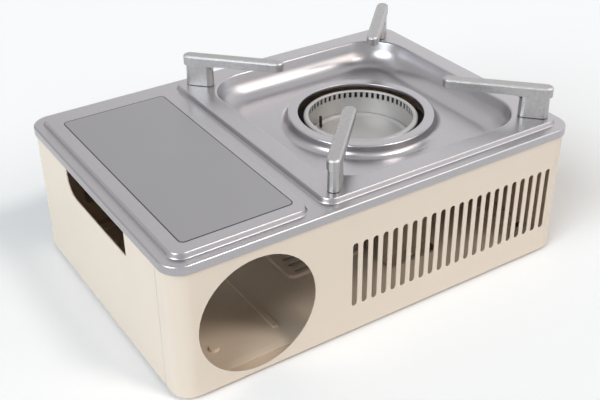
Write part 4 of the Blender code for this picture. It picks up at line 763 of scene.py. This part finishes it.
@dataclass
class PressedTop:
    """The pressed top plate in one sheet: skirt, ledge, panel land, tray and burner collar.

    Attributes:
        sheet: thickness of the sheet.
        skirt: outside of the skirt, at its lowest edge.
        ledge: height of the ledge.
        edge_radius: radius between the skirt and the ledge.
        panel: edge of the panel land.
        tray: edge of the tray land.
        run: width of the riser between the ledge and a land.
        flat: width of the level strip beside a fillet.
        recess: edge of the recess at its rim.
        floor_corner: corner radius at the recess's floor.
        recess_run: how far the wall leans in along X and along Y.
        recess_depth: depth of the recess.
        face: slope of the wall's straight face, in degrees.
        rim_bend: radius of the wall's upper edge.
        collar_height: height of the collar above the floor.
        opening: radius of the burner opening.
        roll: radius of the opening's rolled edge.
        shoulder: radius where the collar's level ring ends.
        shoulder_bend: radius of the edge there.
        collar_face: slope of the collar's outer face, in degrees.
        foot: radius of the collar's foot.
        hem: depth of the hem in the opening.
        feet: corner places of the pot supports from the burner.
        screw_hole: radius of a support's screw hole.
        corner_steps: edges in each corner of the lands; the recess has twice as many.
        collar_steps: pieces in the collar's turn.
        collar_bends: pieces in the opening's rolled edge and in each curve of the outer face.
        hole_steps: edges round a screw hole.
    """

    sheet: float = 0.7 * MM
    skirt: Outline = Outline(142.5 * MM, 99.5 * MM, 13.0 * MM, 86.3 * MM, (0.0, MIDDLE))
    ledge: float = 91.8 * MM
    edge_radius: float = 1.2 * MM
    panel: Outline = Outline(41.15 * MM, 92.0 * MM, 7.0 * MM, CREST, (93.85 * MM, MIDDLE))
    tray: Outline = Outline(87.8 * MM, 91.5 * MM, 7.0 * MM, CREST, (-47.2 * MM, MIDDLE))
    run: float = 1.7 * MM
    flat: float = 0.35 * MM
    recess: Outline = Outline(76.7 * MM, 80.5 * MM, 30.0 * MM, CREST, (-48.4 * MM, MIDDLE))
    floor_corner: float = 17.0 * MM
    recess_run: Pair = (16.5 * MM, 15.0 * MM)
    recess_depth: float = 15.5 * MM
    face: float = 74.0
    rim_bend: float = 1.5 * MM
    collar_height: float = 7.2 * MM
    opening: float = 41.6 * MM
    roll: float = 0.6 * MM
    shoulder: float = 47.4 * MM
    shoulder_bend: float = 1.3 * MM
    collar_face: float = 78.0
    foot: float = 54.0 * MM
    hem: float = 2.5 * MM
    feet: Pair = (76.01 * MM, 79.81 * MM)
    screw_hole: float = 1.8 * MM
    corner_steps: int = 12
    collar_steps: int = 96
    collar_bends: tuple[int, int] = (4, 8)
    hole_steps: int = 16

    def skirt_rows(self) -> list[Outline]:
        """Finds the outlines up the skirt and over its rounded edge to the ledge.

        Returns:
            The outlines in order.
        """
        rows = [self.skirt, self.skirt.grown(0.0, self.ledge - self.edge_radius - self.flat)]
        for inwards, below in quarter(EDGE_BENDS):
            rows.append(self.skirt.grown(-self.edge_radius * inwards, self.ledge - self.edge_radius * below))
        return [*rows, self.skirt.grown(-self.edge_radius - self.flat, self.ledge)]

    def riser_rows(self, land: Outline) -> list[Outline]:
        """Finds the outlines of the riser from the ledge to a raised land.

        Args:
            land: edge of the land.

        Returns:
            The outlines in order.
        """
        rise = land.height - self.ledge
        rows = [land.grown(self.run + self.flat, self.ledge)]
        for share in shares(WIDE_BENDS):
            rows.append(land.grown(self.run * (1 - share), self.ledge + rise * smooth(share)))
        return [*rows, land.grown(-self.flat, land.height)]

    def recess_rows(self) -> list[Outline]:
        """Finds the outlines down the recess's wall: a small rim radius, a steep face and a wide cove.

        Returns:
            The outlines in order.
        """
        rim = self.recess
        width = sum(self.recess_run) / 2
        rows = [rim.grown(self.flat, rim.height)]
        for out, drop in pressed_wall(width, self.recess_depth, self.face, self.rim_bend, WIDE_BENDS):
            share = out / width
            half_x, half_y = rim.half_x - self.recess_run[0] * share, rim.half_y - self.recess_run[1] * share
            corner = rim.corner + (self.floor_corner - rim.corner) * share
            rows.append(Outline(half_x, half_y, corner, rim.height - drop, rim.centre))
        return [*rows, rows[-1].grown(-self.flat, rows[-1].height)]

    def collar_profile(self) -> list[Pair]:
        """Finds the section of the collar.

        Returns:
            Radius and height of each point, from the hem over the top to the floor.
        """
        floor = self.recess.height - self.recess_depth
        top = floor + self.collar_height
        profile = [(self.opening, top - self.hem), (self.opening, top - self.roll - self.flat / 2)]
        small, large = self.collar_bends
        for out, below in quarter(small):
            profile.append((self.opening + self.roll * out, top - self.roll * below))
        profile += [(self.opening + self.roll + self.flat, top), (self.shoulder - self.flat, top)]
        run = self.foot - self.shoulder
        slope = pressed_wall(run, self.collar_height, self.collar_face, self.shoulder_bend, large)
        profile += [(self.shoulder + out, top - drop) for out, drop in slope]
        return profile + [(self.foot + self.flat, floor)]

    def build(self, material: Material) -> None:
        """Builds the plate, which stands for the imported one.

        Args:
            material: silver paint.
        """
        shape = bmesh.new()
        outer = extrude_rows(shape, self.skirt_rows(), self.corner_steps)[1]
        panel_foot, panel_top = extrude_rows(shape, self.riser_rows(self.panel), self.corner_steps)
        tray_foot, tray_top = extrude_rows(shape, self.riser_rows(self.tray), self.corner_steps)
        rim, floor = extrude_rows(shape, self.recess_rows(), 2 * self.corner_steps)
        spun(shape, self.collar_profile(), self.collar_steps)
        collar = open_rims(shape, self.foot, self.foot + 2 * self.flat)
        holes = []
        for side_x in (-1, 1):
            for side_y in (-1, 1):
                place = (BURNER[0] + side_x * self.feet[0], BURNER[1] + side_y * self.feet[1], CREST)
                holes += circle_edges(shape, place, self.screw_hole, self.hole_steps)
        for edges in (outer + panel_foot + tray_foot, panel_top, tray_top + rim + holes, floor + collar):
            bmesh.ops.triangle_fill(shape, edges=edges, use_beauty=True, use_dissolve=False)
        bmesh.ops.remove_doubles(shape, verts=shape.verts, dist=MERGE)
        thicken(shape, self.sheet)
        plate = piece_from(shape, "pressed_top", material, "stove")
        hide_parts("top_plate")


@dataclass
class PanelFilm:
    """The satin film on the panel land, bare, with its printed border line.

    Attributes:
        area: the outer edge of the border line, on the panel land.
        thickness: how far the film stands proud.
        print_share: how far the line stands proud, as a share of that.
        line: width of the border line.
    """

    area: Outline = Outline(35.2 * MM, 80.9 * MM, 3.4 * MM, CREST, (91.95 * MM, 11.5 * MM))
    thickness: float = 0.12 * MM
    print_share: float = 0.8
    line: float = 0.7 * MM

    def build(self, film: Material, ink: Material) -> None:
        """Builds the film and its line.

        Args:
            film: satin film.
            ink: dark print.
        """
        inner = self.area.grown(-self.line, self.area.height)
        piece_from(raised_slab(inner, self.thickness), "panel_film", film, "stove")
        border = raised_slab(self.area, self.thickness * self.print_share)
        piece_from(border, "panel_border_line", ink, "stove")


@dataclass
class BurnerDetail:
    """The deep-drawn bowl and the port ring, with the fillets of the real pressings.

    Attributes:
        port_radius: inside radius of the port ring.
        gap: clearance between the ring and the bowl.
        sheet: thickness of the bowl.
        bowl: height where the bowl's wall ends.
        bend: run and two heights of the bend at the wall's foot, below and above that height.
        bead: width and height of the bead at the wall's foot.
        dish: width and depth of the slope from the bead to the floor.
        margin: width of the level strip round the floor.
        electrode: place of the hole for the spark rod.
        hole: radius of that hole.
        hole_steps: edges round it.
        wall: thickness of the port ring.
        rim: height of the ring's rim.
        rim_radius: outside radius of the rim.
        rim_drop: height of the rim's outer edge.
        roll: radius of the rim's inner edge.
        flat: width of the rim's level strip.
        fall: height of the rim's outer slope, as a share of its width.
        ports: number of flame slots.
        per_port: faces in the turn for each slot, half of them open.
        port_span: lowest and highest point of a slot.
        bowl_steps: pieces in the bowl's turn.
    """

    port_radius: float = 34.5 * MM
    gap: float = 0.08 * MM
    sheet: float = 0.7 * MM
    bowl: float = 67.8 * MM
    bend: Triple = (0.5 * MM, 0.35 * MM, 0.15 * MM)
    bead: Pair = (1.0 * MM, 0.2 * MM)
    dish: Pair = (3.0 * MM, 1.0 * MM)
    margin: float = 0.6 * MM
    electrode: Pair = (-35.0 * MM, -18.2 * MM)
    hole: float = 1.8 * MM
    hole_steps: int = 20
    wall: float = 1.1 * MM
    rim: float = 84.2 * MM
    rim_radius: float = 37.9 * MM
    rim_drop: float = 2.0 * MM
    roll: float = 0.5 * MM
    flat: float = 1.0 * MM
    fall: float = 0.8
    ports: int = 56
    per_port: int = 4
    port_span: Pair = (79.3 * MM, 83.3 * MM)
    bowl_steps: int = 72

    def make_bowl(self, material: Material) -> None:
        """Builds the bowl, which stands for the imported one.

        Args:
            material: burner steel.
        """
        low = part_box("burner_bowl")[0].z + self.sheet
        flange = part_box("burner_bowl")[1].x - BURNER[0]
        wall = self.port_radius - self.gap
        run, below, above = self.bend
        crest = self.bowl + self.bead[1]
        profile = [(flange, low), (wall, low), (wall, self.bowl - below), (wall - run, self.bowl + above)]
        wall -= self.bead[0]
        for share in shares(EDGE_BENDS):
            profile.append((wall - self.dish[0] * share, crest - self.dish[1] * smooth(share)))
        reach, bottom = wall - self.dish[0] - self.margin, crest - self.dish[1]
        profile.append((reach, bottom))
        shape = bmesh.new()
        spun(shape, profile, self.bowl_steps)
        floor = open_rims(shape, 0.0, reach + self.margin / 2)
        floor += circle_edges(shape, (*self.electrode, bottom), self.hole, self.hole_steps)
        bmesh.ops.triangle_fill(shape, edges=floor, use_beauty=True, use_dissolve=False)
        thicken(shape, self.sheet)
        bowl = piece_from(shape, "drawn_bowl", material, "stove")
        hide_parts("burner_bowl")

    def ring_profile(self) -> list[Pair]:
        """Finds the section of the port ring.

        Returns:
            Radius and height of each point, from its foot over the rim to the outer edge.
        """
        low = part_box("burner_port_ring")[0].z
        inner, outer = self.port_radius, self.rim_radius
        slope = outer - inner - self.roll - self.flat
        profile = [(inner, low), *((inner, height) for height in self.port_span)]
        bends = quarter(EDGE_BENDS)
        profile += [(inner + self.roll * out, self.rim - self.roll * below) for out, below in bends]
        profile += [(outer - slope * short, self.rim - self.fall * slope * down) for down, short in bends]
        return profile + [(outer, self.rim - self.rim_drop)]

    def make_ring(self, material: Material) -> None:
        """Builds the port ring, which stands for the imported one.

        Args:
            material: burner steel.
        """
        shape = bmesh.new()
        pieces = self.ports * self.per_port
        spun(shape, self.ring_profile(), pieces)
        middle = sum(self.port_span) / 2
        slots = []
        for face in shape.faces:
            place = face.calc_center_median()
            if abs(place.z - middle) < self.roll:
                turn = (place.xy - Vector(BURNER)).angle_signed(Vector((1, 0)))
                number = int(turn / (2 * pi) * pieces + 2 * pieces)
                if number % self.per_port < self.per_port // 2:
                    slots.append(face)
        bmesh.ops.delete(shape, geom=slots, context="FACES")
        thicken(shape, self.wall)
        ring = piece_from(shape, "port_ring", material, "stove")
        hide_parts("burner_port_ring")


@dataclass
class ControlSide:
    """Plain marks of the control side: a pointer on the knob and dots that grow with the flame.

    Attributes:
        centre: middle of the knob in X and Z.
        bezel: front face of the bezel.
        grip: front face of the knob's grip.
        marks: number of dots from off to full.
        ring: radius of the row of dots.
        dots: radius of the smallest and of the largest dot.
        taper: radius of a dot's far face, as a share of the other.
        turn: angle between the first and the last dot, in degrees.
        proud: how far the print stands proud.
        pointer: distance from the middle of the knob, half width and half length of the pointer.
        round_end: corner radius of the pointer, as a share of its half width.
        dot_steps: edges round a dot.
    """

    centre: Pair = (58.0 * MM, 47.5 * MM)
    bezel: float = -91.3 * MM
    grip: float = -108.0 * MM
    marks: int = 7
    ring: float = 20.6 * MM
    dots: Pair = (0.35 * MM, 0.95 * MM)
    taper: float = 0.94
    turn: float = 90.0
    proud: float = 0.08 * MM
    pointer: Triple = (8.5 * MM, 0.75 * MM, 4.6 * MM)
    round_end: float = 0.95
    dot_steps: int = 20

    def build(self, ink: Material, inlay: Material) -> None:
        """Builds the dots on the bezel and the pointer on the knob.

        Args:
            ink: dark print.
            inlay: white inlay.
        """
        lying = Matrix.Rotation(pi / 2, 4, "X")
        shape = bmesh.new()
        for share in shares(self.marks - 1):
            angle = pi / 2 + radians(self.turn) * share
            radius = self.dots[0] + (self.dots[1] - self.dots[0]) * share
            across, up = self.ring * cos(angle), self.ring * sin(angle)
            place = Matrix.Translation((self.centre[0] + across, self.bezel, self.centre[1] + up)) @ lying
            size = {"radius1": radius, "radius2": radius * self.taper, "depth": 2 * self.proud}
            bmesh.ops.create_cone(shape, cap_ends=True, segments=self.dot_steps, matrix=place, **size)
        piece_from(shape, "bezel_marks", ink, "stove")
        out, half_x, half_y = self.pointer
        shape = raised_slab(Outline(half_x, half_y, half_x * self.round_end, 0.0, (0.0, out)), 2 * self.proud)
        place = Matrix.Translation((self.centre[0], self.grip + self.proud, self.centre[1]))
        bmesh.ops.transform(shape, matrix=place @ lying, verts=shape.verts)
        piece_from(shape, "knob_pointer", inlay, "control")


@dataclass(frozen=True)
class Lamp:
    """A far, wide studio light.

    Attributes:
        name: its name.
        azimuth: direction it shines from, degrees from +X towards +Y.
        elevation: height of that direction, degrees.
        share: light on a surface that faces it, where 1 shows a colour as written.
        width: how wide it looks from the object, degrees.
        colour: tint.
    """

    name: str
    azimuth: float
    elevation: float
    share: float
    width: float
    colour: Triple

    def build(self) -> None:
        """Makes the lamp."""
        data = bpy.data.lights.new(self.name, "SUN")
        data.energy = self.share * pi
        data.angle = radians(self.width)
        data.color = self.colour
        lamp = object_of(self.name, data)
        turn, rise = radians(self.azimuth), radians(self.elevation)
        source = Vector((cos(turn) * cos(rise), sin(turn) * cos(rise), sin(rise)))
        lamp.rotation_mode = "QUATERNION"
        lamp.rotation_quaternion = source.to_track_quat("Z", "Y")
        lamp.location = source * 2


@dataclass
class Studio:
    """Pale floor, soft light and the camera of the photograph.

    Attributes:
        floor_radius: radius of the floor disc.
        floor_steps: edges round it.
        floor_colour: colour of the floor.
        floor_lift: how much whiter the camera and reflections see the floor.
        lift_span: distances from the middle where that starts and where it is full.
        sky: light from all around, where 1 shows a colour as written.
        backdrop: what the camera and reflections see beyond the floor.
        fade: brightness of the backdrop towards -X and towards +X.
        fade_span: directions in X between which it fades.
        overhead: brightness of the ring high over the object.
        overhead_span: heights of direction between which that starts.
        zenith: brightness straight above, as a share.
        zenith_span: heights of direction between which that starts.
        lamps: the lamps.
        camera_place: where the camera stands.
        aim: camera azimuth, 0 looking along +Y, height angle and turn about its own axis, degrees.
        sensor: width of the sensor, mm.
        lens: focal length, mm.
        shift: sideways shift of the frame, share of its width.
        clip: nearest and farthest distance that the camera sees.
    """

    floor_radius: float = 30.0
    floor_steps: int = 96
    floor_colour: Triple = (0.955, 0.96, 0.97)
    floor_lift: float = 0.06
    lift_span: Pair = (0.15, 0.3)
    sky: float = 0.30
    backdrop: Triple = (0.985, 0.99, 1.0)
    fade: Pair = (1.18, 0.66)
    fade_span: Pair = (-0.6, 0.1)
    overhead: float = 0.95
    overhead_span: Pair = (0.56, 0.72)
    zenith: float = 0.62
    zenith_span: Pair = (0.84, 0.97)
    lamps: tuple[Lamp, ...] = (
        Lamp("rear_softbox", azimuth=126.0, elevation=34.0, share=0.17, width=36.0, colour=(1.0, 0.90, 0.80)),
        Lamp("rear_key", azimuth=121.0, elevation=54.0, share=0.24, width=13.0, colour=(1.0, 0.96, 0.91)),
        Lamp("side_softbox", azimuth=14.0, elevation=34.0, share=0.64, width=40.0, colour=(0.93, 1.01, 1.06)),
    )
    camera_place: Triple = (0.30483, 0.48243, 0.38550)
    aim: Triple = (147.28, 31.96, -0.575)
    sensor: float = 36.0
    lens: float = 59.87
    shift: float = 0.00167
    clip: Pair = (0.01, 100.0)

    @staticmethod
    def seen(tree: Tree) -> NodeSocket:
        """Finds the rays of the camera, reflections and clear materials.

        Args:
            tree: tree of a material or of the world.

        Returns:
            An output socket, 1 for such a ray.
        """
        path = tree.add("LightPath").outputs
        bounced = tree.math("MAXIMUM", path["Is Glossy Ray"], path["Is Transmission Ray"])
        return tree.math("MAXIMUM", path["Is Camera Ray"], bounced)

    def floor(self) -> None:
        """Makes the floor disc, which the camera and reflections see a little whiter."""
        made = bpy.data.materials.new("pale_floor")
        made.use_nodes = True
        tree = Tree(made.node_tree)
        shader = made.node_tree.nodes["Principled BSDF"]
        matt = {"Roughness": 0.9, "Specular IOR Level": 0.0}
        tree.join(shader.inputs, {"Base Color": (*self.floor_colour, 1.0), **matt})
        away = tree.vector("LENGTH", tree.object_place())
        rise = tree.remap(away, self.lift_span, (0.0, self.floor_lift))
        strength = tree.math("MULTIPLY", self.seen(tree), rise)
        lift = tree.add("Emission", {"Color": (*self.backdrop, 1.0), "Strength": strength})
        both = tree.add("AddShader", {0: shader.outputs[0], 1: lift.outputs[0]})
        tree.join(made.node_tree.nodes["Material Output"].inputs, {"Surface": both.outputs[0]})
        shape = bmesh.new()
        bmesh.ops.create_circle(shape, cap_ends=True, segments=self.floor_steps, radius=self.floor_radius)
        floor = object_of("floor", mesh_from(shape, "floor"))
        floor.data.materials.append(made)

    def world(self) -> None:
        """Makes the light from all around, and the pale backdrop that the camera and reflections see."""
        world = bpy.data.worlds.new("studio")
        bpy.context.scene.world = world
        world.use_nodes = True
        tree = Tree(world.node_tree)
        light = world.node_tree.nodes["Background"]
        tree.join(light.inputs, {"Color": (*WHITE, 1.0), "Strength": self.sky})
        across = tree.add("SeparateXYZ", {0: tree.add("TexCoord").outputs["Generated"]}).outputs
        level = tree.remap(across["X"], self.fade_span, self.fade)
        high = tree.remap(across["Z"], self.overhead_span)
        tone = tree.blend(high, level, self.overhead, "FLOAT")
        tone = tree.math("MULTIPLY", tone, tree.remap(across["Z"], self.zenith_span, (1.0, self.zenith)))
        beyond = tree.add("Background", {"Color": (*self.backdrop, 1.0), "Strength": tone})
        mix = tree.add("MixShader", {0: self.seen(tree), 1: light.outputs[0], 2: beyond.outputs[0]})
        tree.join(world.node_tree.nodes["World Output"].inputs, {"Surface": mix.outputs[0]})

    def camera(self) -> None:
        """Makes the camera at the photograph's angle."""
        data = bpy.data.cameras.new("camera")
        data.sensor_width = self.sensor
        data.lens = self.lens
        data.shift_x = self.shift
        data.clip_start, data.clip_end = self.clip
        camera = object_of("camera", data)
        turn, rise, roll = (radians(angle) for angle in self.aim)
        back = Vector((sin(turn) * cos(rise), -cos(turn) * cos(rise), sin(rise)))
        upright = back.to_track_quat("Z", "Y").to_matrix().to_4x4()
        tilt = Matrix.Rotation(roll, 4, "Z")
        camera.matrix_world = Matrix.Translation(self.camera_place) @ upright @ tilt
        bpy.context.scene.camera = camera

    def build(self) -> None:
        """Makes the floor, light and camera."""
        self.floor()
        for lamp in self.lamps:
            lamp.build()
        self.world()
        self.camera()
        bpy.context.scene.view_settings.view_transform = "Standard"


def main() -> None:
    """Builds the scene in order and reports each piece."""
    logging.basicConfig(level=logging.INFO, format="%(name)s %(message)s")
    effects = Effects()
    finishes = Finishes()
    made = finishes.dress_nodes(effects)
    ink = finishes.ink.material(effects, "panel_print")
    PressedTop().build(made[Slot.SILVER.value])
    PanelFilm().build(finishes.film.material(effects, "panel_film"), ink)
    burner = BurnerDetail()
    burner.make_bowl(made[Slot.BURNER.value])
    burner.make_ring(made[Slot.BURNER.value])
    ControlSide().build(ink, finishes.inlay.material(effects, "white_inlay"))
    Studio().build()


if __name__ == "__main__":
    main()
